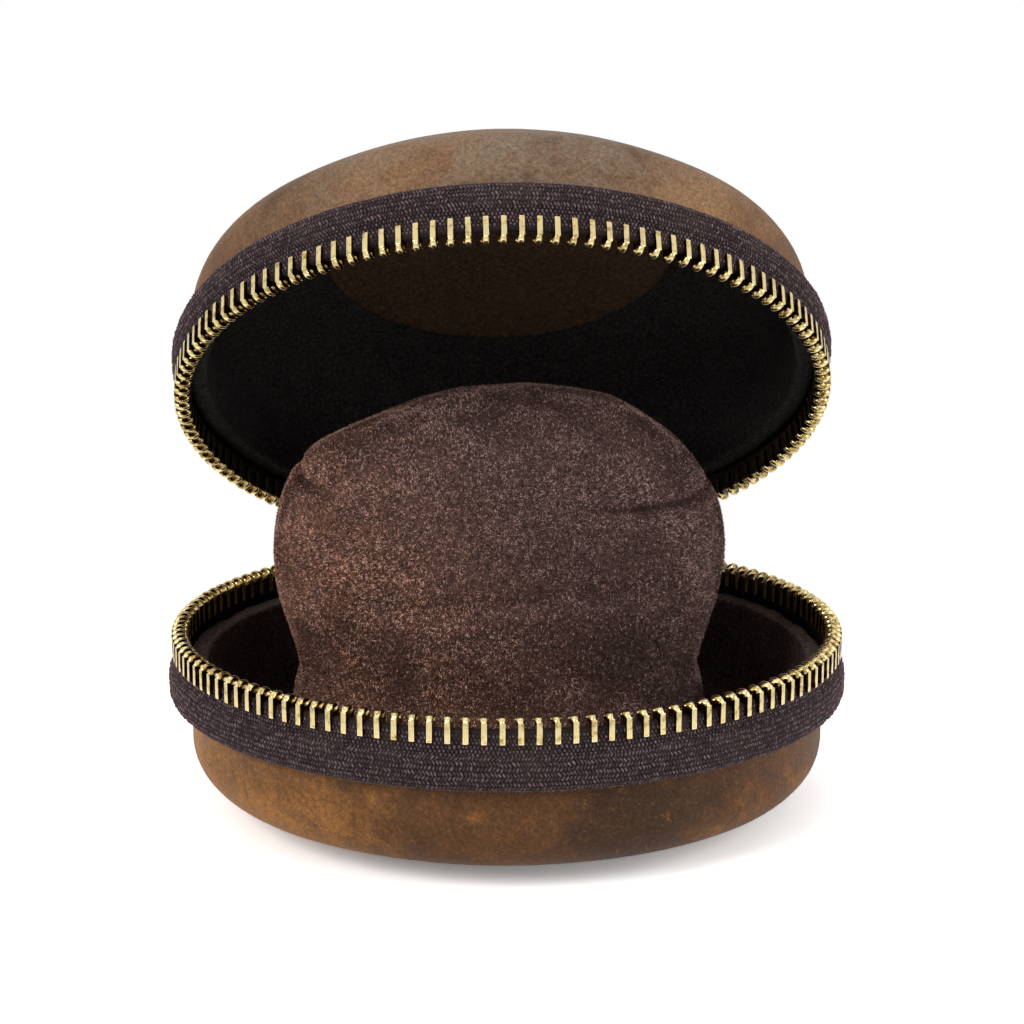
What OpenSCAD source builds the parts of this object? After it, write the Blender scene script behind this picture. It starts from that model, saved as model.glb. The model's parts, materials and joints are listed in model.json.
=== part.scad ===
// Round leather travel case, closed by a zip.
// Two moulded shells meet at a closing plane, a zip runs round their rims, a leather spine
// hinges them at the back, and a padded cushion stands in the lower shell.
// The case is drawn half open. Origin: centre of the base, on the surface it stands on.
// +Z is up, -Y is the front, +X is the right-hand side.

/* [Shells] */
// Diameter of the circle on which the zip runs
zip_ring_d = 100; // [94:0.5:108]
// Depth of the lower half, from the closing plane down to the base
lower_depth = 27; // [25:0.5:32]
// Depth of the lid, from the closing plane up to its crown
lid_depth = 37.5; // [35:0.5:44]
// How far the lower leather wall stands inside the zip circle
lower_inset = 1.6; // [1.4:0.1:2.8]
// How far the lid's leather wall stands inside the zip circle
lid_inset = 1.2; // [1:0.1:2.2]
// Radius of the shoulder between the lower wall and the base
lower_shoulder_r = 7.4; // [5.5:0.1:9]
// Depth of the lower shoulder's centre below the closing plane
lower_shoulder_depth = 16.4; // [15.4:0.1:17.4]
// Radius of the shoulder between the lid's wall and its crown
lid_shoulder_r = 6.5; // [5:0.1:9]
// Height of the lid shoulder's centre above the closing plane
lid_shoulder_depth = 15.2; // [13.6:0.1:17]
// Diameter of the flat that the case stands on
base_flat_d = 44; // [36:1:52]
// Thickness of the outer leather
leather_t = 1.2; // [0.9:0.1:1.5]
// Thickness of the moulded board between leather and lining
core_t = 1; // [0.7:0.1:1.5]
// Thickness of the suede lining
lining_t = 0.5; // [0.4:0.05:0.9]
// Distance from the closing plane to the top of each shell's wall
wall_start = 4.9; // [4.7:0.1:5.4]
// Radius of the round lining panel in the lid's crown
crown_panel_r = 28.5; // [22:0.5:33]
// Radius of the round lining panel on the floor
floor_panel_r = 33; // [26:0.5:36]

/* [Hinge] */
// Angle by which the lid stands open as drawn
lid_open = 39; // [30:0.5:45]
// Distance of the hinge axis outside the zip circle
hinge_out = 0.5; // [0.2:0.1:1.5]
// Distance of the hinge axis below the closing plane
hinge_drop = 6; // [5.4:0.1:7]
// Width of the leather spine
spine_w = 32; // [24:1:36]
// Thickness of the leather spine
spine_t = 1.2; // [0.9:0.1:1.5]
// Width of the cloth gusset inside the hinge
gusset_w = 34; // [26:1:36]
// Thickness of the cloth gusset
gusset_t = 0.5; // [0.4:0.05:0.8]

/* [Zip] */
// Teeth that a full circle would hold on each tape
teeth_in_circle = 128; // [120:2:132]
// Angle from the front to the last tooth on the left
zip_half_angle = 148; // [142:0.5:149]
// Angle from the front to the slider's middle, parked on the right
slider_angle = 147; // [144:0.5:148]
// Thickness of a tooth's head, along the zip
tooth_t = 1.05; // [0.8:0.01:1.12]
// Width of a tooth's legs, along the zip
leg_t = 0.9; // [0.7:0.05:1]
// Width of a tooth across the tape
tooth_w = 2.5; // [2.3:0.05:2.7]
// Distance by which each tooth reaches past the closing plane
tooth_reach = 0.6; // [0.4:0.05:0.75]
// Distance from the closing plane to the ends of a tooth's legs
tooth_leg_end = 3.2; // [2.9:0.1:3.6]
// Radius of the nib on a tooth's head
nib_r = 0.42; // [0.3:0.02:0.5]
// Height of the nib
nib_h = 0.4; // [0.25:0.05:0.5]
// Room round the nib in the next tooth's socket
nib_gap = 0.1; // [0.06:0.02:0.16]
// Thickness of the tape's corded edge between the teeth's legs
bead_t = 1.2; // [1:0.05:1.3]
// Thickness of the woven tape
tape_t = 0.85; // [0.6:0.05:1]
// Distance by which the rolled tape stands outside the zip circle
tape_proud = 1.7; // [1.4:0.1:2]
// Distance from the closing plane to the fold of the lower rolled tape
lower_fold_depth = 10.1; // [9.6:0.1:10.8]
// Distance from the closing plane to the fold of the lid's rolled tape
lid_fold_depth = 9; // [8.8:0.1:10]

/* [Slider] */
// Length of the slider along the zip
slider_l = 9; // [7.5:0.5:10]
// Width of the slider at its mouth
slider_w = 8.2; // [7.4:0.1:8.6]
// Thickness of each slider plate
slider_plate_t = 0.7; // [0.5:0.05:0.9]
// Clear space between the slider's two plates
slider_inside = 3.4; // [3.3:0.1:3.8]
// Radius of the round bar that carries the pull tab
bar_r = 0.6; // [0.45:0.05:0.7]
// Clear height of the bar above the slider's plate
bar_height = 1.7; // [1.5:0.1:2.4]
// Length of the pull tab below its bar
pull_l = 20; // [14:1:22]
// Width of the pull tab
pull_w = 6.5; // [5:0.5:8]
// Thickness of the pull tab
pull_t = 1.1; // [0.8:0.1:1.4]
// Running clearance of the pull tab's eye on its bar
eye_gap = 0.08; // [0.04:0.01:0.1]

/* [Cushion] */
// Width of the cushion where it bulges most
cushion_w = 69; // [60:1:72]
// Depth of the cushion, front to back
cushion_d = 56; // [48:1:60]
// Distance of the cushion's middle behind the case's middle
cushion_back = 2; // [0:0.5:3]
// Height above the closing plane at which the cushion's top begins to round over
cushion_shoulder_z = 12; // [8:0.5:14]
// Room between the cushion and the closed lid's lining
cushion_lid_gap = 0.7; // [0.5:0.1:2]
// Share of the full width that the cushion keeps at its foot
cushion_foot = 0.84; // [0.78:0.01:0.88]
// Thickness of the suede cover
cover_t = 0.8; // [0.6:0.1:1.2]
// Height of the upper cover seam above the closing plane
upper_seam_z = 20; // [16:0.5:22]
// Height of the lower cover seam above the floor lining
lower_seam_z = 6; // [5:0.5:8]

/* [Hidden] */

$fn = 96;

// Colours of the real materials
leather_colour = "#6b4a2c";
spine_colour = "#5f4026";
board_colour = "#8d7a60";
lining_colour = "#231a16";
crown_colour = "#3a2418";
tape_colour = "#40323a";
brass_colour = "#b79a5c";
suede_colour = "#4b3430";
foam_colour = "#d8cfae";

// Places that follow from the sizes above
ring_r = zip_ring_d / 2;
plane_z = lower_depth;
hinge_y = ring_r + hinge_out;
hinge_z = plane_z - hinge_drop;
lower_wall_r = ring_r - lower_inset;
lid_wall_r = ring_r - lid_inset;
shell_t = leather_t + core_t + lining_t;
base_edge_r = 10;
seat_gap = 0.03;
soft_gap = 0.3;
pitch_angle = 360 / teeth_in_circle;
deg_per_mm = 180 / (PI * ring_r);

// ---------- outlines ----------

function arc_points(cx, cy, r, a0, a1, n) =
    [for (i = [0:n]) let (a = a0 + (a1 - a0) * i / n) [cx + r * cos(a), cy + r * sin(a)]];

// Outline of the lower shell as [radius, depth below the closing plane], moved inwards by o:
// wall, shoulder, sloping bottom and the flat that it stands on.
lower_sx = lower_wall_r - lower_shoulder_r;
lower_bx = base_flat_d / 2;
lower_by = lower_depth - base_edge_r;
lower_dx = lower_sx - lower_bx;
lower_dy = lower_shoulder_depth - lower_by;
lower_tangent = atan2(lower_dy, lower_dx)
    + acos((base_edge_r - lower_shoulder_r) / norm([lower_dx, lower_dy]));
function lower_outline(o) = concat(
    [[lower_wall_r - o, wall_start]],
    arc_points(lower_sx, lower_shoulder_depth, lower_shoulder_r - o, 0, lower_tangent, 8),
    arc_points(lower_bx, lower_by, base_edge_r - o, lower_tangent, 90, 3),
    [[0, lower_depth - o]]
);

// Outline of the lid as [radius, height above the closing plane], moved inwards by o:
// wall, shoulder and a crown that is part of a large ball.
lid_sx = lid_wall_r - lid_shoulder_r;
lid_rise = lid_depth - lid_shoulder_depth;
lid_crown_r =
    (pow(lid_sx, 2) + pow(lid_rise, 2) - pow(lid_shoulder_r, 2)) / (2 * (lid_rise - lid_shoulder_r));
lid_crown_c = lid_depth - lid_crown_r;
lid_tangent = atan2(lid_shoulder_depth - lid_crown_c, lid_sx);
function lid_outline(o) = concat(
    [[lid_wall_r - o, wall_start]],
    arc_points(lid_sx, lid_shoulder_depth, lid_shoulder_r - o, 0, lid_tangent, 8),
    arc_points(0, lid_crown_c, lid_crown_r - o, lid_tangent, 90, 12)
);

// One layer of a shell between two inward moves of its outline.
function backwards(v) = [for (i = [len(v) - 1:-1:0]) v[i]];
module lower_layer(from, to) {
    polygon(concat(lower_outline(from), backwards(lower_outline(to))));
}
module lid_layer(from, to) {
    polygon(concat(lid_outline(from), backwards(lid_outline(to))));
}

// The lining's top edge turns outwards over the wall, and meets the zip tape where there is tape.
lip_start = wall_start - lining_t;
lip_r = ring_r - bead_t / 2 - seat_gap;
module lining_lip(from_r, to_r) {
    translate([from_r, lip_start])
        square([to_r - from_r, lining_t]);
}

// Turns a [radius, depth] outline into the lower shell or the closed lid.
module lower_revolve(angle = 360, start = 0) {
    translate([0, 0, plane_z])
        mirror([0, 0, 1])
            rotate([0, 0, start])
                rotate_extrude(angle = angle)
                    children();
}
module lid_revolve(angle = 360, start = 0) {
    translate([0, 0, plane_z])
        rotate([0, 0, start])
            rotate_extrude(angle = angle)
                children();
}

// Swings what is drawn on the closed lid to the angle at which it stands open.
module lid_swing(angle = lid_open) {
    translate([0, hinge_y, hinge_z])
        rotate([-angle, 0, 0])
            translate([0, -hinge_y, -hinge_z])
                children();
}

// ---------- lower shell ----------

module lower_leather() {
    color(leather_colour)
        lower_revolve()
            lower_layer(0, leather_t);
}

module lower_core() {
    color(board_colour)
        lower_revolve()
            lower_layer(leather_t, leather_t + core_t);
}

module lower_lining_band() {
    color(lining_colour)
        union() {
            lower_revolve()
                union() {
                    intersection() {
                        lower_layer(leather_t + core_t, shell_t);
                        translate([floor_panel_r, 0])
                            square([ring_r, lower_depth]);
                    }
                    lining_lip(lower_wall_r - shell_t, lower_wall_r);
                }
            lower_revolve(left_tape_end + right_tape_end, -90 - left_tape_end)
                lining_lip(lower_wall_r, lip_r);
        }
}

module lower_floor_panel() {
    color(lining_colour)
        lower_revolve()
            intersection() {
                lower_layer(leather_t + core_t, shell_t);
                square([floor_panel_r, lower_depth]);
            }
}

// ---------- lid ----------

module lid_leather() {
    color(leather_colour)
        lid_swing()
            lid_revolve()
                lid_layer(0, leather_t);
}

module lid_core() {
    color(board_colour)
        lid_swing()
            lid_revolve()
                lid_layer(leather_t, leather_t + core_t);
}

module lid_lining_band() {
    color(lining_colour)
        lid_swing()
            union() {
                lid_revolve()
                    union() {
                        intersection() {
                            lid_layer(leather_t + core_t, shell_t);
                            translate([crown_panel_r, 0])
                                square([ring_r, lid_depth]);
                        }
                        lining_lip(lid_wall_r - shell_t, lid_wall_r);
                    }
                lid_revolve(left_tape_end + lid_tape_end, -90 - left_tape_end)
                    lining_lip(lid_wall_r, lip_r);
            }
}

module lid_crown_panel() {
    color(crown_colour)
        lid_swing()
            lid_revolve()
                intersection() {
                    lid_layer(leather_t + core_t, shell_t);
                    square([crown_panel_r, lid_depth]);
                }
}

// ---------- zip tape ----------

// Middle line of the tape as [distance outside the zip circle, depth]: the corded edge between
// the teeth, an outward swell, the fold, and a flap that runs back up against the leather.
bead_top = 1.4;
bead_end = 3.3;
bead_lap = 0.4;
flap_top = 5.6;
swell_depth = 6.4;
function tape_line(inset, fold_depth) =
    let (outside = tape_proud - tape_t / 2,
         flap = tape_t / 2 + seat_gap - inset,
         fold_r = (outside - flap) / 2,
         fold_c = fold_depth - tape_t / 2 - fold_r)
    concat(
        [[0, bead_end]],
        [for (i = [1:5]) let (s = i / 5)
            [outside * (1 - cos(180 * s)) / 2, bead_end + (swell_depth - bead_end) * s]],
        arc_points(outside - fold_r, fold_c, fold_r, 0, 180, 8),
        [[flap, flap_top]]
    );

function normal_at(p, i) =
    let (a = p[max(i - 1, 0)],
         b = p[min(i + 1, len(p) - 1)],
         d = b - a)
    [d[1], -d[0]] / norm(d);

module ribbon(points, t) {
    outer = [for (i = [0:len(points) - 1]) points[i] + normal_at(points, i) * t / 2];
    inner = [for (i = [0:len(points) - 1]) points[i] - normal_at(points, i) * t / 2];
    polygon(concat(outer, backwards(inner)));
}

module tape_section(inset, fold_depth) {
    translate([ring_r, 0])
        union() {
            translate([-bead_t / 2, bead_top])
                square([bead_t, bead_end + bead_lap - bead_top]);
            ribbon(tape_line(inset, fold_depth), tape_t);
        }
}

// Angles, from the front, at which things on the right-hand side of the zip begin and end
slider_half = slider_l / 2 * deg_per_mm;
stop_l = 1.6;
stop_margin = 0.9;
right_gap = 0.5;
left_stop_angle = zip_half_angle + (stop_margin + stop_l / 2) * deg_per_mm;
left_tape_end = left_stop_angle + (stop_l / 2 + stop_margin) * deg_per_mm;
right_stop_angle = slider_angle + slider_half + (right_gap + stop_l / 2) * deg_per_mm;
right_tape_end = right_stop_angle + (stop_l / 2 + stop_margin) * deg_per_mm;
lower_teeth_end = slider_angle - slider_half - right_gap * deg_per_mm;
// The lid's tape stops short of the parked slider, clear of it as the lid swings
lid_slider_gap = 2.6;
lid_tape_end = slider_angle - slider_half - lid_slider_gap * deg_per_mm;
lid_stop_angle = lid_tape_end - (stop_margin + stop_l / 2) * deg_per_mm;
lid_teeth_end = lid_stop_angle - (stop_l / 2 + stop_margin) * deg_per_mm;

module lower_zip_tape() {
    color(tape_colour)
        lower_revolve(left_tape_end + right_tape_end, -90 - left_tape_end)
            tape_section(lower_inset, lower_fold_depth);
}

module lid_zip_tape() {
    color(tape_colour)
        lid_swing()
            lid_revolve(left_tape_end + lid_tape_end, -90 - left_tape_end)
                tape_section(lid_inset, lid_fold_depth);
}

// ---------- zip teeth ----------

// Puts a part drawn at the closing plane, +Y outwards, at an angle from the front of the zip.
module on_ring(angle) {
    translate([0, 0, plane_z])
        rotate([0, 0, angle])
            translate([0, -ring_r, 0])
                rotate([0, 0, 180])
                    children();
}

head_round = 0.6;
slot_w = bead_t + 2 * seat_gap;
module tooth_outline() {
    difference() {
        union() {
            translate([-tooth_w / 2, -tooth_leg_end])
                square([tooth_w, tooth_leg_end + tooth_reach - head_round]);
            translate([-tooth_w / 2 + head_round, -head_round])
                square([tooth_w - 2 * head_round, tooth_reach + head_round]);
            for (side = [-1, 1])
                translate([side * (tooth_w / 2 - head_round), tooth_reach - head_round])
                    circle(r = head_round, $fn = 24);
        }
        translate([-slot_w / 2, -tooth_leg_end - 1])
            square([slot_w, tooth_leg_end + 1 - bead_top + seat_gap]);
    }
}

// One metal element: two legs that clamp the tape's corded edge, a head with a nib on one face
// and a socket on the other. Drawn for the lower tape, +X along the zip.
nib_y = -0.25;
neck_z = -1.1;
module tooth() {
    difference() {
        union() {
            intersection() {
                upright(tooth_t)
                    tooth_outline();
                translate([-tooth_t, -tooth_w, neck_z])
                    cube([2 * tooth_t, 2 * tooth_w, tooth_reach - neck_z + 1]);
            }
            upright(leg_t)
                tooth_outline();
            translate([tooth_t / 2, nib_y, 0])
                rotate([0, 90, 0])
                    cylinder(r = nib_r, h = nib_h, $fn = 16);
        }
        translate([-tooth_t / 2 - 1, nib_y, 0])
            rotate([0, 90, 0])
                cylinder(r = nib_r + nib_gap, h = 1 + socket_depth, $fn = 16);
    }
}
socket_depth = nib_h - (pitch_angle / 2 / deg_per_mm - tooth_t) + nib_gap;

// Extrudes a section drawn in Y and Z along X, centred.
module upright(width) {
    rotate([90, 0, 90])
        linear_extrude(height = width, center = true)
            children();
}

module lower_zip_teeth() {
    color(brass_colour)
        for (i = [-floor(zip_half_angle / pitch_angle):floor(lower_teeth_end / pitch_angle)])
            on_ring(i * pitch_angle)
                tooth();
}

module lid_zip_teeth() {
    color(brass_colour)
        lid_swing()
            for (i = [-floor(zip_half_angle / pitch_angle):floor(lid_teeth_end / pitch_angle - 0.5)])
                on_ring((i + 0.5) * pitch_angle)
                    mirror([0, 0, 1])
                        tooth();
}

// A plain metal clip over the tape's corded edge, past the last tooth. Its top stays clear of the
// other row's reach.
stop_top = -tooth_reach - 0.25;
module stop_clip() {
    upright(stop_l)
        difference() {
            translate([-tooth_w / 2, -tooth_leg_end])
                square([tooth_w, tooth_leg_end + stop_top]);
            translate([-slot_w / 2, -tooth_leg_end - 1])
                square([slot_w, tooth_leg_end + 1 - bead_top + seat_gap]);
        }
}

module lower_zip_stops() {
    color(brass_colour)
        for (angle = [-left_stop_angle, right_stop_angle])
            on_ring(angle)
                stop_clip();
}

module lid_zip_stops() {
    color(brass_colour)
        lid_swing()
            for (angle = [-left_stop_angle, lid_stop_angle])
                on_ring(angle)
                    mirror([0, 0, 1])
                        stop_clip();
}

// ---------- slider ----------

// Outline of a slider plate, +X towards the teeth: a wide mouth that tapers to the tail.
slider_taper = 1.6;
slider_corner = 1;
mouth_x = slider_l / 2;
tail_w = slider_w - slider_taper;
module slider_plan() {
    polygon([
        [mouth_x, -slider_w / 2 + slider_corner],
        [mouth_x, slider_w / 2 - slider_corner],
        [mouth_x - slider_corner, slider_w / 2],
        [0, slider_w / 2],
        [-mouth_x + slider_corner, tail_w / 2],
        [-mouth_x, tail_w / 2 - slider_corner],
        [-mouth_x, -tail_w / 2 + slider_corner],
        [-mouth_x + slider_corner, -tail_w / 2],
        [0, -slider_w / 2],
        [mouth_x - slider_corner, -slider_w / 2]
    ]);
}

// Extrudes a section drawn in X and Z outwards along +Y.
module outwards(y0, y1) {
    translate([0, y1, 0])
        rotate([90, 0, 0])
            linear_extrude(height = y1 - y0)
                children();
}

// The wedge that parts the rows stands back from the mouth, is widest at its shoulder and ends
// in a point.
flange_t = 0.7;
flange_gap = 1.9;
wedge_half = 1.1;
wedge_point_half = 0.25;
wedge_front = mouth_x - 0.4;
wedge_shoulder = mouth_x - 1.4;
wedge_point = mouth_x - 4;
plate_y = slider_inside / 2;
module slider_body() {
    color(brass_colour)
        on_ring(slider_angle)
            union() {
                for (side = [0, 1])
                    mirror([0, side, 0]) {
                        outwards(plate_y, plate_y + slider_plate_t)
                            slider_plan();
                        outwards(flange_gap / 2, plate_y)
                            difference() {
                                slider_plan();
                                translate([-slider_l, -tail_w / 2 + flange_t])
                                    square([2 * slider_l, tail_w - 2 * flange_t]);
                            }
                    }
                outwards(-plate_y, plate_y)
                    polygon([
                        [wedge_front, -wedge_half],
                        [wedge_front, wedge_half],
                        [wedge_shoulder, wedge_half],
                        [wedge_point, wedge_point_half],
                        [wedge_point, -wedge_point_half],
                        [wedge_shoulder, -wedge_half]
                    ]);
            }
}

// Bridge on the slider's outer plate: a round bar between two posts.
bar_y = plate_y + slider_plate_t + bar_height + bar_r;
bar_l = 5.8;
post_t = 1.1;
post_x = (bar_l - post_t) / 2;
post_half = bar_r * 1.4;
module slider_bar() {
    color(brass_colour)
        on_ring(slider_angle)
            union() {
                translate([-bar_l / 2, bar_y, 0])
                    rotate([0, 90, 0])
                        cylinder(r = bar_r, h = bar_l, $fn = 32);
                for (side = [-1, 1])
                    translate([side * post_x - post_t / 2, plate_y + slider_plate_t, -post_half])
                        cube([post_t, bar_height + 2 * bar_r, 2 * post_half]);
            }
}

// Pull tab: an eye round the bar, a neck between the posts and a flat grip with a slot.
eye_r = bar_r + eye_gap;
eye_wall = 0.6;
eye_side_gap = 0.2;
eye_w = bar_l - 2 * (post_t + eye_side_gap);
module pull_tab() {
    color(brass_colour)
        on_ring(slider_angle)
            translate([0, bar_y, 0])
                difference() {
                    union() {
                        translate([-eye_w / 2, 0, 0])
                            rotate([0, 90, 0])
                                cylinder(r = eye_r + eye_wall, h = eye_w, $fn = 32);
                        outwards(-pull_t / 2, pull_t / 2)
                            pull_plan();
                    }
                    translate([-eye_w, 0, 0])
                        rotate([0, 90, 0])
                            cylinder(r = eye_r, h = 2 * eye_w, $fn = 32);
                }
}

neck_top = -0.4;
neck_end = -2.6;
grip_top = -4.8;
grip_end = -pull_l + pull_w / 2;
module pull_plan() {
    difference() {
        union() {
            translate([-eye_w / 2, grip_top])
                square([eye_w, neck_top - grip_top]);
            polygon([
                [-eye_w / 2, neck_end],
                [eye_w / 2, neck_end],
                [pull_w / 2, grip_top],
                [pull_w / 2, grip_end],
                [-pull_w / 2, grip_end],
                [-pull_w / 2, grip_top]
            ]);
            translate([0, grip_end])
                circle(r = pull_w / 2, $fn = 48);
        }
        translate([0, grip_end])
            circle(r = pull_w / 4, $fn = 32);
    }
}

// ---------- hinge ----------

// Both hinge strips follow the back of the shells when closed. Over its bend, from low to high
// as heights above the closing plane, a point turns with the lid by a growing share.
bend_lead = 1.5;
lip_margin = 0.6;
spine_bend = [-hinge_drop - hinge_out, bend_lead];
gusset_bend = [lip_margin - lip_start, lip_start - lip_margin];
function ease(s) = s * s * (3 - 2 * s);
function share(z, bend) = ease(min(max((z - bend[0]) / (bend[1] - bend[0]), 0), 1));
function swing_point(p, angle) =
    let (y = p[1] - hinge_y,
         z = p[2] - hinge_z)
    [p[0], hinge_y + y * cos(angle) + z * sin(angle), hinge_z - y * sin(angle) + z * cos(angle)];
function strip_point(a, z, radii, skin, bend) =
    let (r = radii[0] + (radii[1] - radii[0]) * share(z + bend_lead, bend) + skin)
    swing_point([r * sin(a), r * cos(a), plane_z + z], lid_open * share(z, bend));

// A closed sheet: rings of points along the strip, each going round its thickness.
module hinge_strip(width, t, radii, span, bend) {
    across = 10;
    along = 18;
    half = width / 2 / ring_r * 180 / PI;
    ring = 2 * (across + 1);
    points = [
        for (j = [0:along])
            for (i = [0:ring - 1])
                let (z = span[0] + (span[1] - span[0]) * j / along,
                     inside = i > across,
                     k = inside ? ring - 1 - i : i,
                     a = -half + 2 * half * k / across)
                strip_point(a, z, radii, inside ? 0 : t, bend)
    ];
    sides = [
        for (j = [0:along - 1])
            for (i = [0:ring - 1])
                let (n = (i + 1) % ring)
                each [
                    [j * ring + i, j * ring + n, (j + 1) * ring + i],
                    [(j + 1) * ring + i, j * ring + n, (j + 1) * ring + n]
                ]
    ];
    ends = [
        for (i = [0:across - 1])
            each [
                [i, ring - 1 - i, i + 1],
                [i + 1, ring - 1 - i, ring - 2 - i]
            ]
    ];
    last = along * ring;
    tops = [for (f = ends) [last + f[0], last + f[2], last + f[1]]];
    polyhedron(points, concat(sides, ends, tops));
}

strip_gap = 0.15;
spine_span = [-15, 13.5];
spine_radii = [lower_wall_r + strip_gap, lid_wall_r + strip_gap];
module hinge_spine() {
    color(spine_colour)
        hinge_strip(spine_w, spine_t, spine_radii, spine_span, spine_bend);
}

gusset_span = [-12, 12];
gusset_out = shell_t + gusset_t + strip_gap;
gusset_radii = [lower_wall_r - gusset_out, lid_wall_r - gusset_out];
module hinge_gusset() {
    color(lining_colour)
        hinge_strip(gusset_w, gusset_t, gusset_radii, gusset_span, gusset_bend);
}

// ---------- cushion ----------

floor_z = shell_t;
foot_z = floor_z + seat_gap;
lid_inner_top = plane_z + lid_depth - shell_t;
cushion_top_z = lid_inner_top - cushion_lid_gap;
upper_seam = plane_z + upper_seam_z;
lower_seam = foot_z + lower_seam_z;
ring_n = 40;
plan_power = 2.5;

// Height of the closed lid's lining above a point, less the cushion's clearance
function lid_limit(x, y) =
    plane_z + lid_crown_c - cushion_lid_gap
    + sqrt(max(pow(lid_crown_r - shell_t, 2) - x * x - y * y, 1));

// Height of the floor lining below a point, plus a clearance: flat, then the sloping bottom
floor_slope = 90 - lower_tangent;
floor_flat_r = base_flat_d / 2 + (base_edge_r - shell_t) * tan(floor_slope / 2);
floor_gap = 0.08;
function floor_limit(x, y) = foot_z + floor_gap + max(norm([x, y]) - floor_flat_r, 0) * tan(floor_slope);

// Share of the full width at each height: a narrow foot, a drawn-in waist, the full bulge at
// the shoulder and a rounded top, whose height over the shoulder is dome_h.
shoulder_z = plane_z + cushion_shoulder_z;
dome_h = cushion_top_z - shoulder_z;
dome_power = 2.6;
dome_lift = 0.447;
waist_drop = 7;
waist_z = plane_z - waist_drop;
foot_bulge = 0.06;
waist_gain = 0.02;
waist = cushion_foot + waist_gain;
function foot_share(s) = cushion_foot + foot_bulge * sin(180 * s) + waist_gain * ease(s);
function waist_share(s) = waist + (1 - waist) * ease(s);
function dome_share(s) = pow(1 - pow(s, 1 / dome_lift), 1 / dome_power);
function side_share(z) =
    z < waist_z ? foot_share((z - foot_z) / (waist_z - foot_z))
    : z < shoulder_z ? waist_share((z - waist_z) / (shoulder_z - waist_z))
    : dome_share((z - shoulder_z) / dome_h);

// A ring of the cushion: share of the width, height, and an inward move for the filling
function superellipse(a, hw, hd) =
    let (c = cos(a),
         s = sin(a),
         r = pow(pow(abs(c / hw), plan_power) + pow(abs(s / hd), plan_power), -1 / plan_power))
    [r * c, r * s];
function cushion_ring(share, z, o) = [
    for (i = [0:ring_n - 1])
        let (p = superellipse(360 * i / ring_n, share * cushion_w / 2 - o, share * cushion_d / 2 - o),
             x = p[0],
             y = p[1] + cushion_back)
        [x, y, max(min(z, lid_limit(x, y) - o), floor_limit(x, y) + o)]
];

// Crown: rings drawn in step by step towards the middle
crown_shares = [0.79, 0.67, 0.53, 0.39, 0.25, 0.1];
function crown_rings(o) = [
    for (s = crown_shares)
        cushion_ring(s, shoulder_z + dome_h * pow(1 - pow(s, dome_power), dome_lift) - o, o)
];
crown_edge_share = 0.62;
crown_edge = shoulder_z + crown_edge_share * dome_h;
function side_rings(z0, z1, n, o) = [
    for (i = [0:n])
        let (z = z0 + (z1 - z0) * i / n)
        cushion_ring(side_share(z), z, o)
];
function base_rings(o) = [
    for (s = [0.25, 0.5, 0.72])
        cushion_ring(s, foot_z + o, o)
];
// The foot rounds over from the base to the side within this height and share of the width
foot_rise = 3;
foot_inset = 0.09;
function foot_rings(o) = [
    for (a = [0:30:60])
        cushion_ring(cushion_foot - foot_inset * (1 - sin(a)), foot_z + o + (foot_rise - o) * (1 - cos(a)), o)
];

// Skins rings into one closed solid. Open stacks get a fan at each end.
module stack(rings, loop = false) {
    n = len(rings[0]);
    m = len(rings);
    points = [for (r = rings) each r];
    first = [for (k = [0:2]) (rings[0][0][k] + rings[0][n / 2][k]) / 2];
    final = [for (k = [0:2]) (rings[m - 1][0][k] + rings[m - 1][n / 2][k]) / 2];
    steps = loop ? m : m - 1;
    walls = [
        for (j = [0:steps - 1])
            for (i = [0:n - 1])
                let (k = (i + 1) % n,
                     up = (j + 1) % m)
                each [
                    [j * n + i, up * n + i, j * n + k],
                    [j * n + k, up * n + i, up * n + k]
                ]
    ];
    fans = loop ? [] : [
        for (i = [0:n - 1])
            let (k = (i + 1) % n)
            each [
                [m * n, i, k],
                [m * n + 1, (m - 1) * n + k, (m - 1) * n + i]
            ]
    ];
    polyhedron(loop ? points : concat(points, [first, final]), concat(walls, fans));
}

module cushion_top() {
    outer = concat(side_rings(upper_seam, crown_edge, 2, 0), crown_rings(0));
    inner = concat(side_rings(upper_seam, crown_edge, 2, cover_t), crown_rings(cover_t));
    color(suede_colour)
        stack(concat(backwards(inner), outer));
}

seam_gap = 0.02;
module cushion_band() {
    outer = side_rings(lower_seam, upper_seam - seam_gap, 9, 0);
    inner = side_rings(lower_seam, upper_seam - seam_gap, 9, cover_t);
    color(suede_colour)
        stack(concat(backwards(inner), outer), true);
}

function foot_stack(o) = concat(
    base_rings(o),
    foot_rings(o),
    side_rings(foot_z + foot_rise, lower_seam - seam_gap, 2, o)
);
module cushion_base() {
    outer = foot_stack(0);
    inner = foot_stack(cover_t);
    color(suede_colour)
        stack(concat(outer, backwards(inner)));
}

module cushion_filling() {
    o = cover_t + soft_gap / 2;
    color(foam_colour)
        stack(concat(
            foot_stack(o),
            side_rings(lower_seam, upper_seam - seam_gap, 9, o),
            side_rings(upper_seam, crown_edge, 2, o),
            crown_rings(o)
        ));
}

lower_leather();
lower_core();
lower_lining_band();
lower_floor_panel();
lower_zip_tape();
lower_zip_teeth();
lower_zip_stops();
lid_leather();
lid_core();
lid_lining_band();
lid_crown_panel();
lid_zip_tape();
lid_zip_teeth();
lid_zip_stops();
hinge_spine();
hinge_gusset();
slider_body();
slider_bar();
pull_tab();
cushion_top();
cushion_band();
cushion_base();
cushion_filling();
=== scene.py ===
"""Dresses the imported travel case: waxed leather, woven zip tape, metal teeth, dark linings,
a suede cushion and a plain studio. Sizes are in millimetres until a mesh is made."""

import json
import math

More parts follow.
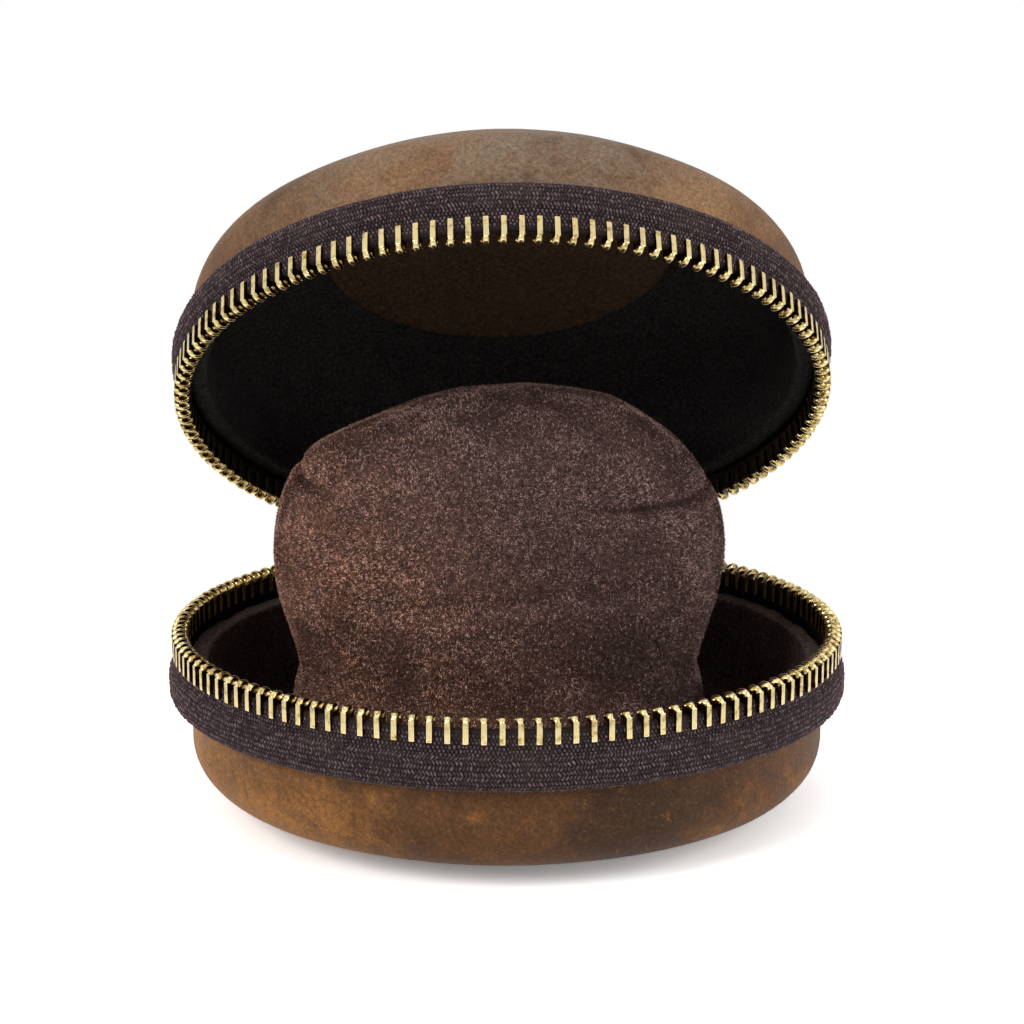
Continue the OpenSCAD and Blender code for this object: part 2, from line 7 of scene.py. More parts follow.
import bpy
import numpy as np
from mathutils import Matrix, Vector


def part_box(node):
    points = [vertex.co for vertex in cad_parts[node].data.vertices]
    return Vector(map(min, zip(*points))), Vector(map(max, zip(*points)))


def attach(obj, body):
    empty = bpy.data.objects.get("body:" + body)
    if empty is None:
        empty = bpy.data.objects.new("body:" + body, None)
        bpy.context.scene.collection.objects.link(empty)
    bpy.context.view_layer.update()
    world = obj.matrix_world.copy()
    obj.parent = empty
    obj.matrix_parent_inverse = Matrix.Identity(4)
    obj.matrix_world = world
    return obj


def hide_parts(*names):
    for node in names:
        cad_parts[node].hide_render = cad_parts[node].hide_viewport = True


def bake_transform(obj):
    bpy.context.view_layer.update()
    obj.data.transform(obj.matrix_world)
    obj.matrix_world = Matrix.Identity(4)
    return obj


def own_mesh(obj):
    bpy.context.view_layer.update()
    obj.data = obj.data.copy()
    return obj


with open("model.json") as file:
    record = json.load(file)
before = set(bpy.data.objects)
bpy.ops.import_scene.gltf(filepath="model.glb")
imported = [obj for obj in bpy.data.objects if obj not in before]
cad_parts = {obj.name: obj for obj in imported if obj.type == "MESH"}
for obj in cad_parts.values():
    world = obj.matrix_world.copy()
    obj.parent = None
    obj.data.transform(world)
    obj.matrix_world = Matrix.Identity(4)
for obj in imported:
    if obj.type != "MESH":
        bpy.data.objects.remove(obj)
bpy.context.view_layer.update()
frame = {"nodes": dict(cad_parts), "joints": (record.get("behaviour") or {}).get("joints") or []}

# ---------- sizes, partly read from the imported model ---

MM = 0.001
LID_HINGE = next(j for j in frame["joints"] if j["name"] == "lid_hinge")
HINGE_Y, HINGE_Z = (round(LID_HINGE["pos_m"][i] / MM, 3) for i in (1, 2))
LID_OPEN = math.radians(-LID_HINGE["range_deg"][0])
TOOTH_W, TOOTH_REACH, TOOTH_LEG_END = 2.5, 0.6, 3.2
TEETH_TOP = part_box("lower_zip_teeth")[1]
RING_R = round(TEETH_TOP.x / MM - TOOTH_W / 2, 2)
PLANE_Z = round(TEETH_TOP.z / MM - TOOTH_REACH, 2)
TEETH_PER_TURN = 128
PITCH = 360 / TEETH_PER_TURN
MM_PER_DEG = math.pi * RING_R / 180
# Where the tapes end, in degrees from the front of the zip, and which teeth each row has.
LEFT_TAPE_END, RIGHT_TAPE_END, LID_TAPE_END = 151.896, 155.594, 138.864
LOWER_TEETH, LID_TEETH = range(-52, 51), range(-52, 48)
LEATHER_T, CORE_T, LINING_T, WALL_START = 1.2, 1.0, 0.5, 4.9
SHELL_T = LEATHER_T + CORE_T + LINING_T
LOWER_INSET, LID_INSET = 1.6, 1.2
LOWER_WALL_R, LID_WALL_R = RING_R - LOWER_INSET, RING_R - LID_INSET
LID_DEPTH = 37.5
FLOOR_PANEL_R, CROWN_PANEL_R = 33, 28.5


def closed_lid_to_open(p, turn=LID_OPEN):
    """Points of the closed lid, swung to where the lid stands open, or by other angles."""
    y, z = p[..., 1] - HINGE_Y, p[..., 2] - HINGE_Z
    c, s = np.cos(turn), np.sin(turn)
    return np.stack([p[..., 0], HINGE_Y + y * c + z * s, HINGE_Z - y * s + z * c], -1)


# ---------- outlines as [radius, distance from the closing plane] ----------

def arc(cx, cy, r, a0, a1, n):
    a = np.radians(np.linspace(a0, a1, n + 1))
    return np.stack([cx + r * np.cos(a), cy + r * np.sin(a)], 1)


LOWER_SR, LOWER_SY = 7.4, 16.4
LOWER_SX = LOWER_WALL_R - LOWER_SR
FLAT_R, EDGE_R = 22, 10


def lower_tangent():
    """Angle at which the shoulder's arc runs into the cone, and the cone into the edge of the base."""
    dx, dy = LOWER_SX - FLAT_R, LOWER_SY - (PLANE_Z - EDGE_R)
    return math.atan2(dy, dx) + math.acos((EDGE_R - LOWER_SR) / math.hypot(dx, dy))


def lower_outline(inwards):
    tangent = math.degrees(lower_tangent())
    return np.concatenate([
        [[LOWER_WALL_R - inwards, WALL_START]],
        arc(LOWER_SX, LOWER_SY, LOWER_SR - inwards, 0, tangent, 16),
        arc(FLAT_R, PLANE_Z - EDGE_R, EDGE_R - inwards, tangent, 90, 8),
        [[0, PLANE_Z - inwards]],
    ])


LID_SR, LID_SY = 6.5, 15.2
LID_SX = LID_WALL_R - LID_SR
LID_RISE = LID_DEPTH - LID_SY
LID_BALL_R = (LID_SX ** 2 + LID_RISE ** 2 - LID_SR ** 2) / (2 * (LID_RISE - LID_SR))
LID_BALL_C = LID_DEPTH - LID_BALL_R


def lid_outline(inwards):
    tangent = math.degrees(math.atan2(LID_SY - LID_BALL_C, LID_SX))
    return np.concatenate([
        [[LID_WALL_R - inwards, WALL_START]],
        arc(LID_SX, LID_SY, LID_SR - inwards, 0, tangent, 16),
        arc(0, LID_BALL_C, LID_BALL_R - inwards, tangent, 90, 24),
    ])


def from_front(r, a, z):
    """Points at a distance from the axis and an angle from the front, where the zip's middle is."""
    return np.stack([r * np.sin(a), -r * np.cos(a), z + 0 * a], -1)


def resample(line, step):
    """Points at even distances along a line of points."""
    lengths = np.concatenate([[0], np.cumsum(np.linalg.norm(np.diff(line, axis=0), axis=1))])
    t = np.linspace(0, lengths[-1], max(2, round(lengths[-1] / step) + 1))
    return np.stack([np.interp(t, lengths, line[:, k]) for k in range(line.shape[1])], 1)


def ease(s):
    return s * s * (3 - 2 * s)


# ---------- noise ----------

NOISE_CELLS = 32


def noise(p, size, seed, octaves=1):
    """Smooth noise from -1 to 1 at points p, with features of about that size."""
    total, weight = 0, 0
    for k in range(octaves):
        box = np.random.RandomState(seed + k).rand(NOISE_CELLS, NOISE_CELLS, NOISE_CELLS)
        q = p / size * 2 ** k + 5.3
        cell = np.floor(q).astype(int)
        f = ease(q - cell)
        value = 0
        for corner in np.ndindex(2, 2, 2):
            w = np.prod(np.where(np.array(corner), f, 1 - f), axis=-1)
            i, j, m = ((cell[..., a] + corner[a]) % NOISE_CELLS for a in range(3))
            value = value + w * box[i, j, m]
        total = total + (2 * value - 1) * 0.5 ** k
        weight += 0.5 ** k
    return total / weight


# ---------- meshes ----------

TINY = 1e-9
POLE_MERGE = 1e-7  # in metres: joins the points that a revolved grid leaves on its axis
CALM_R = 3  # nearer the axis than this, bumps die out


def new_object(name, data):
    obj = bpy.data.objects.new(name, data)
    bpy.context.scene.collection.objects.link(obj)
    return obj


def new_piece(name, vertices, faces, material, bake_map=None, marks=None):
    """A smooth-shaded mesh object from points in millimetres. bake_map is the map named OFBake, a place
    for each corner, and marks are values for each point that a material reads by name."""
    mesh = bpy.data.meshes.new(name)
    mesh.from_pydata((np.asarray(vertices) * MM).tolist(), [], [list(map(int, f)) for f in faces])
    if bake_map is not None:
        full = np.zeros((len(mesh.loops), 2), np.float32)
        full[:len(bake_map)] = bake_map
        mesh.uv_layers.new(name="OFBake").uv.foreach_set("vector", full.ravel())
    for key, values in (marks or {}).items():
        mesh.attributes.new(key, "FLOAT", "POINT").data.foreach_set("value", values.astype(np.float32))
    mesh.shade_smooth()
    mesh.materials.append(material)
    return new_object(name, mesh)


def read_vectors(items, key):
    values = np.empty(len(items) * 3, np.float32)
    items.foreach_get(key, values)
    return values.reshape(-1, 3).astype(float)


def points_of(obj):
    return read_vectors(obj.data.vertices, "co")


def normals_of(obj):
    return read_vectors(obj.data.vertex_normals, "vector")


def set_points(obj, p):
    obj.data.vertices.foreach_set("co", p.astype(np.float32).ravel())
    obj.data.update()


def add_modifier(obj, kind, **settings):
    modifier = obj.modifiers.new(kind.lower(), kind)
    for key, value in settings.items():
        setattr(modifier, key, value)
    return modifier


def apply_modifiers(obj):
    bpy.context.view_layer.update()
    made = bpy.data.meshes.new_from_object(obj.evaluated_get(bpy.context.evaluated_depsgraph_get()))
    old = obj.data
    obj.modifiers.clear()
    obj.data = made
    bpy.data.meshes.remove(old)


def fit_piece(obj, body, node):
    """Hands over a piece that rides on a body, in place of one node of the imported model."""
    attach(obj, body)
    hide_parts(node)


def signed_volume(points, quads):
    a, b, c, d = (points[quads[:, k]] for k in range(4))
    return (np.einsum("ij,ij", a, np.cross(b, c)) + np.einsum("ij,ij", a, np.cross(c, d))) / 6


def grid_piece(name, points, material, wrap_rows, relief=None, strips=1):
    """A closed piece from a grid of points: its columns close up, and its rows close up or get caps.
    The map named OFBake lays the rows out in side-by-side strips."""
    rows, columns = points.shape[:2]
    i, j = np.meshgrid(np.arange(rows if wrap_rows else rows - 1), np.arange(columns), indexing="ij")
    i, j = i.ravel(), j.ravel()
    corner_i = np.stack([i, i, i + 1, i + 1], 1)
    corner_j = np.stack([j, j + 1, j + 1, j], 1)
    flat = points.reshape(-1, 3)
    quads = (corner_i % rows) * columns + corner_j % columns
    turned = 1 if signed_volume(flat, quads) >= 0 else -1
    quads, corner_i, corner_j = (corners[:, ::turned] for corners in (quads, corner_i, corner_j))
    per_strip = math.ceil((rows + 1) / strips)
    strip = corner_i.min(1)[:, None] // per_strip
    u = (corner_i - strip * per_strip) / (per_strip + 1)
    v = (strip + 0.02 + 0.96 * corner_j / columns) / strips
    bake_map = np.stack([u, v], -1).reshape(-1, 2)
    faces = quads.tolist()
    if not wrap_rows:
        first, last = list(range(columns)), [(rows - 1) * columns + k for k in range(columns)]
        faces += [first[::turned], last[::-turned]]
    marks = {"relief": relief.ravel()} if relief is not None else None
    return new_piece(name, flat, faces, material, bake_map, marks)


def unit(vectors):
    return vectors / np.maximum(np.linalg.norm(vectors, axis=1), TINY)[:, None]


def closed_normals(outline):
    """Normals of a closed outline at its points, to the right of its run."""
    tangent = np.roll(outline, -1, 0) - np.roll(outline, 1, 0)
    return unit(np.stack([tangent[:, 1], -tangent[:, 0]], 1))


def shell_piece(name, material, section, columns, in_lid, bumps):
    """A revolved layer. section is its closed outline with 1 for each point of the outward skin and 0
    for the inward one; bumps gives how far points move outwards, from their places and that share."""
    outline, skin = section
    rows = len(outline)
    normal = closed_normals(outline)
    area = np.sum(outline[:, 0] * np.roll(outline[:, 1], -1) - np.roll(outline[:, 0], -1) * outline[:, 1])
    normal *= np.sign(area)
    a = np.linspace(0, 2 * np.pi, columns, endpoint=False)

    def place(section):
        depth = section[..., 1]
        return from_front(section[..., 0], a, PLANE_Z + (depth if in_lid else -depth))

    rest = place(outline[:, None, :] + np.zeros((rows, columns, 2)))
    out = bumps(rest, skin[:, None] + np.zeros((rows, columns)))
    out = out * np.clip(outline[:, :1] / CALM_R, 0, 1) ** 0.5
    moved = place(outline[:, None, :] + normal[:, None, :] * out[..., None])
    moved[..., 2] = np.maximum(moved[..., 2], 0)
    if in_lid:
        moved = closed_lid_to_open(moved)
    obj = grid_piece(name, moved, material, wrap_rows=True)
    add_modifier(obj, "WELD", merge_threshold=POLE_MERGE)
    apply_modifiers(obj)
    return obj


def layered(outer, inner, outer_step, inner_step):
    """The closed section between two outlines that run from the rim to the axis, and for each point
    1 on the outer outline and 0 on the inner."""
    a, b = resample(outer, outer_step), resample(inner[::-1], inner_step)
    return np.concatenate([a, b]), np.concatenate([np.ones(len(a)), np.zeros(len(b))])


# ---------- materials ----------

def rgb(r, g, b):
    """A colour given as it shows on screen, 0 to 255."""
    return tuple(c / 12.92 if c <= 0.04045 else ((c + 0.055) / 1.055) ** 2.4
                 for c in (r / 255, g / 255, b / 255)) + (1,)


def add_node(tree, kind, inputs=None, **settings):
    """A shader node. Each input is a value, or the socket that feeds it."""
    n = tree.nodes.new("ShaderNode" + kind)
    for key, value in settings.items():
        setattr(n, key, value)
    for key, value in (inputs or {}).items():
        if isinstance(value, bpy.types.NodeSocket):
            tree.links.new(value, n.inputs[key])
        else:
            n.inputs[key].default_value = value
    return n


class Shader:
    """A material's node tree, with short calls for the nodes that are used here."""

    def __init__(self, name, **inputs):
        self.material = bpy.data.materials.new(name)
        self.material.use_nodes = True
        self.tree = self.material.node_tree
        self.surface = self.tree.nodes["Principled BSDF"]
        for key, value in inputs.items():
            self.surface.inputs[key.replace("_", " ")].default_value = value
        self.place = self.node("TexCoord").outputs["Object"]

    def node(self, kind, inputs=None, **settings):
        return add_node(self.tree, kind, inputs, **settings)

    def noise(self, size, seed, detail=3, roughness=0.5, distortion=0):
        """Noise with features of about that size in millimetres."""
        inputs = {"Vector": self.place, "W": seed, "Scale": 1 / (size * MM), "Detail": detail,
                  "Roughness": roughness, "Distortion": distortion}
        return self.node("TexNoise", inputs, noise_dimensions="4D").outputs[0]

    def attribute(self, name):
        return self.node("Attribute", attribute_name=name).outputs["Fac"]

    def math(self, operation, a, b):
        return self.node("Math", {0: a, 1: b}, operation=operation).outputs[0]

    def add(self, a, b):
        return self.math("ADD", a, b)

    def times(self, a, b):
        return self.math("MULTIPLY", a, b)

    def spread(self, value, low, high, to_low=0.0, to_high=1.0):
        return self.node("MapRange", {"Value": value, "From Min": low, "From Max": high,
                                      "To Min": to_low, "To Max": to_high}).outputs[0]

    def ramp(self, value, *stops):
        n = self.node("ValToRGB", {"Fac": value})
        ramp = n.color_ramp
        while len(ramp.elements) < len(stops):
            ramp.elements.new(0.5)
        for element, (position, colour) in zip(ramp.elements, stops):
            element.position, element.color = position, colour
        return n.outputs[0]

    def blend(self, a, b, share):
        """Two values added up, the second with this share and the first with the rest."""
        return self.add(self.times(a, 1 - share), self.times(b, share))

    def shade(self, colour, factor):
        """The colour, lightened or darkened by a factor."""
        return self.node("VectorMath", {0: colour, "Scale": factor}, operation="SCALE").outputs[0]

    def mix(self, factor, a, b, blend="MIX"):
        n = self.node("Mix", {0: factor, 6: a, 7: b}, data_type="RGBA", blend_type=blend)
        return n.outputs[2]

    def bump(self, height, distance, strength, normal=None):
        inputs = {"Height": height, "Distance": distance * MM, "Strength": strength}
        if normal is not None:
            inputs["Normal"] = normal
        return self.node("Bump", inputs).outputs[0]

    def done(self, colour, roughness, normal=None):
        for key, value in (("Base Color", colour), ("Roughness", roughness), ("Normal", normal)):
            if value is not None:
                self.tree.links.new(value, self.surface.inputs[key])
        return self.material


# Spans along x of the leather's painted side light: lighter left of the first, painted shade between them,
# lighter again right of the second
SIDE_LIGHT_LEFT, SIDE_LIGHT_RIGHT = (-42 * MM, -14 * MM), (18 * MM, 44 * MM)


def leather_material(name, dark, middle, light, top_light, top_light_heights, seed, lean=0.0):
    """Waxed leather. Between two heights in millimetres it turns upwards to another colour, painted top
    light, and lean says how much painted side light it has: lighter at the left edge, darker in
    between, painted shade, and lighter again at the right edge."""
    s = Shader(name, Specular_IOR_Level=0.12, Sheen_Weight=0.02, Sheen_Roughness=0.6)
    clouds = s.noise(30, seed, roughness=0.55, distortion=0.6)
    blotches = s.noise(6.5, seed + 1, detail=5, roughness=0.66, distortion=0.9)
    nap = s.noise(0.55, seed + 2, detail=4, roughness=0.8)
    pores = s.noise(0.3, seed + 4, detail=2, roughness=0.6)
    x, _, height = s.node("SeparateXYZ", {0: s.place}).outputs[:3]
    tone = s.blend(clouds, blotches, 0.4)
    # lean adds painted side light: lighter at the left edge, painted shade in between, lighter again at the
    # right edge
    tone = s.add(tone, s.spread(x, *SIDE_LIGHT_LEFT, 1.3 * lean, -lean))
    tone = s.add(tone, s.spread(x, *SIDE_LIGHT_RIGHT, 0, 1.8 * lean))
    colour = s.ramp(tone, (0.36, dark), (0.5, middle), (0.64, light))
    # Painted top light: from the lower height up to the higher one the leather turns, in blotches, to the
    # top_light colour
    high, low = top_light_heights
    top_lit = s.times(s.spread(height, low * MM, high * MM), s.spread(blotches, 0.34, 0.6, 0.2, 0.9))
    colour = s.mix(top_lit, colour, top_light)
    colour = s.shade(colour, s.spread(nap, 0.4, 0.6, 0.74, 1.27))
    colour = s.shade(colour, s.spread(pores, 0.38, 0.62, 0.8, 1.18))
    flecks = s.noise(1.1, seed + 3, roughness=0.7, distortion=1.2)
    colour = s.mix(s.spread(flecks, 0.58, 0.7, 0, 0.38), colour, light)
    pebbles = s.node("TexVoronoi", {"Vector": s.place, "Scale": 1 / (0.9 * MM)}).outputs["Distance"]
    normal = s.bump(nap, 0.1, 0.8)
    normal = s.bump(pebbles, 0.05, 0.22, normal)
    normal = s.bump(blotches, 0.5, 0.25, normal)
    return s.done(colour, s.spread(blotches, 0.3, 0.7, 0.52, 0.7), normal)


def suede_material(name, dark, middle, light, seed, nap_size, tilt, sheen, key_light_tint=None):
    """Napped suede: fibres in tufts of nap_size, brushed another way over patches of the size tilt."""
    s = Shader(name, Specular_IOR_Level=0.12, Sheen_Weight=sheen, Sheen_Roughness=0.45, Sheen_Tint=light)
    brushed = s.noise(tilt, seed, detail=2, distortion=0.6)
    tufts = s.noise(nap_size, seed + 1, roughness=0.65, distortion=0.9)
    fibres = s.noise(nap_size * 0.4, seed + 2, detail=2, roughness=0.7, distortion=1.5)
    tone = s.blend(tufts, fibres, 0.4)
    colour = s.ramp(tone, (0.4, dark), (0.5, middle), (0.6, light))
    colour = s.mix(s.spread(brushed, 0.35, 0.65, 0, 0.4), colour, s.ramp(tone, (0.4, middle), (0.62, light)))
    # painted key light: warmer and paler low down on the left
    if key_light_tint:
        colour = s.mix(key_light_share(s), colour, key_light_tint, "MULTIPLY")
    normal = s.bump(tone, 0.4, 0.9)
    return s.done(colour, s.spread(fibres, 0.2, 0.8, 0.82, 1.0), normal)


def key_light_share(s):
    """Share of painted key light on the suede, low down on the left, where it turns warmer and paler."""
    x, _, z = s.node("SeparateXYZ", {0: s.place}).outputs[:3]
    away = s.math("SUBTRACT", s.times(s.math("SUBTRACT", 55 * MM, z), 0.7), x)
    patches = s.noise(9, 151, roughness=0.6)
    return s.times(s.spread(away, 2 * MM, 36 * MM), s.spread(patches, 0.36, 0.6, 0.55, 1.0))


def nap_material(name, dark, middle, light, key_light_tint, seed):
    """The single fibres of the nap: each has its own tone, and patches of them lie another way."""
    s = Shader(name, Specular_IOR_Level=0.15, Sheen_Weight=0.12, Sheen_Roughness=0.4, Sheen_Tint=light)
    brushed = s.noise(13, seed, detail=2, distortion=0.6)
    tone = s.add(s.attribute("fibre_tone"), s.spread(brushed, 0.3, 0.7, -0.1, 0.1))
    colour = s.ramp(tone, (0.12, dark), (0.5, middle), (0.9, light))
    # painted key light: warmer and paler low down on the left
    colour = s.mix(key_light_share(s), colour, key_light_tint, "MULTIPLY")
    return s.done(colour, s.spread(s.noise(0.3, seed + 1), 0.3, 0.7, 0.75, 0.95))


def tape_material(name, valley_shade, thread, tip, seed):
    """Woven tape: the mesh holds the threads' relief, and this colours them by it, with painted shade
    in the valleys and painted light on the tips, and twists them.
    """
    s = Shader(name, Specular_IOR_Level=0.14, Sheen_Weight=0.04, Sheen_Roughness=0.5, Sheen_Tint=tip)
    relief = s.attribute("relief")
    fluff = s.noise(0.2, seed, roughness=0.7, distortion=0.8)
    age = s.noise(8, seed + 1, detail=2)
    level = s.add(relief, s.spread(fluff, 0.3, 0.7, -0.28, 0.28))
    # Colour by the threads' height: painted shade down in the valleys, painted light on the tips
    colour = s.ramp(level, (0.12, valley_shade), (0.52, thread), (0.95, tip))
    colour = s.mix(s.spread(age, 0.48, 0.72, 0, 0.22), colour, rgb(82, 74, 62))
    normal = s.bump(fluff, 0.12, 0.9)
    return s.done(colour, s.spread(fluff, 0.2, 0.8, 0.55, 0.85), normal)


def brass_material(name, bright, mid, patina, rough, seed, lit_and_rubbed=None):
    """Antique brass: a thin brown stain, and fine rubbing. Where a mark is named, the stain is lighter on
    faces that look out and up and darker on the sides: partly rubbed wear, partly painted light and shade.
    """
    s = Shader(name, Metallic=1.0)
    stain = s.noise(1.0, seed, detail=4, roughness=0.6)
    if lit_and_rubbed:
        # The mark lightens faces that look out and up and darkens the sides: partly rubbed wear, partly
        # painted light and shade between the teeth
        stain = s.add(stain, s.spread(s.attribute(lit_and_rubbed), 0, 1, -0.2, 0.1))
    grain = s.noise(0.16, seed + 1, roughness=0.6)
    colour = s.ramp(stain, (0.3, patina), (0.44, mid), (0.6, bright))
    rub = s.spread(grain, 0.3, 0.7, rough * 0.8, rough * 1.35)
    normal = s.bump(grain, 0.012, 0.3)
    return s.done(colour, rub, normal)


def board_material():
    s = Shader("Board", Specular_IOR_Level=0.2)
    pulp = s.noise(1.5, 3, detail=5, roughness=0.7)
    colour = s.ramp(pulp, (0.3, rgb(110, 96, 78)), (0.7, rgb(156, 140, 116)))
    return s.done(colour, s.spread(pulp, 0.2, 0.8, 0.75, 0.95), s.bump(pulp, 0.1, 0.5))


# Painted light on the leathers: the fourth colour is painted top light over the two heights after it, and the
# lower leather's last number is its painted side light
LEATHER_LOW = leather_material("Leather_lower", rgb(64, 43, 28), rgb(97, 64, 38), rgb(158, 108, 58),
                               rgb(104, 72, 44), (34, 14), 4.2, 0.085)
LEATHER_LID = leather_material("Leather_lid", rgb(84, 57, 36), rgb(126, 88, 55), rgb(168, 118, 67),
                               rgb(126, 110, 94), (100, 82), 7.9)
LEATHER_SPINE = leather_material("Leather_spine", rgb(68, 46, 30), rgb(98, 68, 42), rgb(132, 92, 56),
                                 rgb(106, 80, 56), (70, 40), 2.6)
LINING = suede_material("Lining", rgb(18, 17, 17), rgb(38, 35, 35), rgb(72, 65, 64), 11, 0.5, 7, 0.12)
# Painted light: the same dark lining as in the lid, made lighter for the lower shell where more light falls
LINING_LOW_LIT = suede_material("Lining_lower_lit", rgb(34, 28, 26), rgb(66, 55, 52), rgb(120, 100, 92),
                            15, 0.5, 7, 0.18)
CROWN = suede_material("Lining_crown", rgb(50, 36, 26), rgb(74, 55, 40), rgb(104, 80, 60), 21, 0.6, 14, 0.1)
# Tint of the painted key light on the cushion, low down on the left
KEY_LIGHT_TINT = (1.8, 1.52, 1.18, 1)
SUEDE = suede_material("Suede", rgb(22, 14, 13), rgb(60, 44, 41), rgb(98, 75, 70), 31, 0.42, 13, 0.15, KEY_LIGHT_TINT)
NAP = nap_material("Suede_nap", rgb(52, 38, 36), rgb(121, 92, 86), rgb(194, 162, 153), KEY_LIGHT_TINT, 35)
# First colour: painted shade in the weave's valleys; last: painted light on the thread tips
TAPE = tape_material("Zip_tape", rgb(12, 7, 8), rgb(68, 51, 54), rgb(134, 114, 116), 41)
BRASS = brass_material("Brass", rgb(232, 214, 168), rgb(190, 166, 112), rgb(104, 82, 44), 0.28, 51)
# The teeth's mark is partly rubbed wear, partly painted light and shade
BRASS_TEETH = brass_material("Brass_teeth", rgb(224, 204, 150), rgb(166, 140, 84), rgb(74, 54, 26), 0.2, 61,
                             "lit_and_rubbed")
BOARD = board_material()


# ---------- leather and lining ----------

LEATHER_COLUMNS, LINING_COLUMNS = 520, 420
LINING_SLACK, LIP_DROP, LIP_R = 0.05, 0.02, 0.4


def leather_bumps(seed):
    def bumps(p, skin):
        swell = 0.10 * noise(p, 13, seed, 2)
        return skin * (swell + 0.02 * noise(p, 1.3, seed + 9, 2))
    return bumps


def lining_bumps(seed, depth):
    def bumps(p, skin):
        folds = noise(p * [1, 1, 0.55], 7.5, seed, 2)
        creases = np.clip(1 - np.abs(noise(p * [1, 1, 0.4], 5, seed + 5, 2)) * 5, 0, 1)
        return (1 - skin) * (depth * folds - 0.5 * depth * creases + 0.04 * noise(p, 1.2, seed + 8))
    return bumps


def clip_outline(outline, r_from, r_to):
    """The part of an outline that lies between two distances from the axis."""
    line = resample(outline, 0.05)
    keep = (line[:, 0] <= r_to) & (line[:, 0] >= r_from)
    return line[keep]


def make_shells():
    for name, outline_of, step, material, seed, body in (
            ("lower_leather", lower_outline, 0.55, LEATHER_LOW, 3, "lower_shell"),
            ("lid_leather", lid_outline, 0.6, LEATHER_LID, 5, "lid")):
        section = layered(outline_of(0), outline_of(LEATHER_T), step, 2)
        obj = shell_piece(name + "_dressed", material, section, LEATHER_COLUMNS, body == "lid",
                          leather_bumps(seed))
        fit_piece(obj, body, name)


def lining_section(outline_of, r_from, r_to, lip_r):
    """Section of a lining between two distances from the axis. lip_r, where it has one, is how far
    out its lip lies on the wall's edge."""
    outer = clip_outline(outline_of(LEATHER_T + CORE_T), r_from, r_to)
    inner = clip_outline(outline_of(SHELL_T - LINING_SLACK), r_from, r_to)
    if lip_r:
        edge, top = WALL_START - LIP_DROP, WALL_START - LINING_T
        bend = arc(lip_r - SHELL_T + LIP_R, top + LIP_R, LIP_R, 270, 180, 4)
        outer = np.concatenate([[[lip_r, edge], [outer[0, 0], edge]], outer])
        inner = np.concatenate([[[lip_r, top]], bend, inner])
    return layered(outer, inner, 1.2, 0.7)


def make_linings():
    for name, material, section, bumps, body, node, slot in (
            ("lower_lining", LINING_LOW_LIT, (lower_outline, FLOOR_PANEL_R, RING_R, LOWER_WALL_R), (71, 0.4),
             "lower_shell", "lower_lining_band", "lining"),
            ("floor_lining", LINING_LOW_LIT, (lower_outline, 0, FLOOR_PANEL_R, None), (73, 0.02),
             "lower_shell", "lower_floor_panel", "lining"),
            ("lid_lining", LINING, (lid_outline, CROWN_PANEL_R, RING_R, LID_WALL_R), (75, 0.2),
             "lid", "lid_lining_band", "lining"),
            ("crown_panel", CROWN, (lid_outline, 0, CROWN_PANEL_R, None), (77, 0.06),
             "lid", "lid_crown_panel", "crown_lining")):
        obj = shell_piece(name + "_dressed", material, lining_section(*section), LINING_COLUMNS,
                          body == "lid", lining_bumps(*bumps))
        fit_piece(obj, body, node)


# ---------- zip tape ----------

TAPE_T, BEAD_T, BEAD_TOP, BEAD_END, TAPE_PROUD = 0.85, 1.2, 1.4, 3.3, 1.7
LOWER_FOLD, LID_FOLD, SWELL_DEPTH, FLAP_TOP, SEAT_GAP = 10.1, 9.0, 6.4, 5.6, 0.03
LINE_STEP, SKIN_STEP, ALONG_STEP = 0.12, 0.2, 0.15
BACK_STEP, CAP_TOP, CAP_END, TAPER_FROM, TAPER_LENGTH = 0.8, 0.45, 0.3, 1.4, 1.0


def tape_middle(wall_inset, fold_depth):
    """The tape's middle line as [distance outside the zip circle, depth], and its half thickness."""
    outside = TAPE_PROUD - TAPE_T / 2
    flap = TAPE_T / 2 + SEAT_GAP - wall_inset
    fold_r = (outside - flap) / 2
    fold_c = fold_depth - TAPE_T / 2 - fold_r
    s = np.linspace(0, 1, 14)[1:]
    swell = np.stack([outside * (1 - np.cos(np.pi * s)) / 2, BEAD_END + (SWELL_DEPTH - BEAD_END) * s], 1)
    line = np.concatenate([
        [[0, BEAD_TOP + CAP_TOP], [0, BEAD_END]], swell,
        arc(outside - fold_r, fold_c, fold_r, 0, 180, 24), [[flap, FLAP_TOP + CAP_END]],
    ])
    line = resample(line, LINE_STEP)
    taper = ease(np.clip((np.arange(len(line)) * LINE_STEP - TAPER_FROM) / TAPER_LENGTH, 0, 1))
    return line, BEAD_T / 2 + (TAPE_T / 2 - BEAD_T / 2) * taper


def offset_line(line, half):
    tangent = unit(np.gradient(line, axis=0))
    normal = np.stack([tangent[:, 1], -tangent[:, 0]], 1)
    return normal, tangent, line + normal * half[:, None], line - normal * half[:, None]


def round_cap(centre, tangent, normal, half):
    a = np.radians(np.linspace(0, 180, 8)[1:-1])[:, None]
    return centre + half * (np.cos(a) * normal + np.sin(a) * tangent)


def tape_section(wall_inset, fold_depth):
    """Closed outline of the rolled tape, and how far along its outer skin each point is, or -1."""
    line, half = tape_middle(wall_inset, fold_depth)
    normal, tangent, outer, inner = offset_line(line, half)
    seen = resample(outer, SKIN_STEP)
    end_cap = round_cap(line[-1], tangent[-1], normal[-1], half[-1])
    back = resample(inner[::-1], BACK_STEP)
    top_cap = round_cap(line[0], -tangent[0], -normal[0], half[0])
    section = np.concatenate([seen, end_cap, back, top_cap])
    along = np.concatenate([np.arange(len(seen)) * SKIN_STEP, np.full(len(section) - len(seen), -1.0)])
    return section, along


FINE_END, ROW_W, STITCH, FINE_W = 3.2, 0.72, 0.5, 0.56


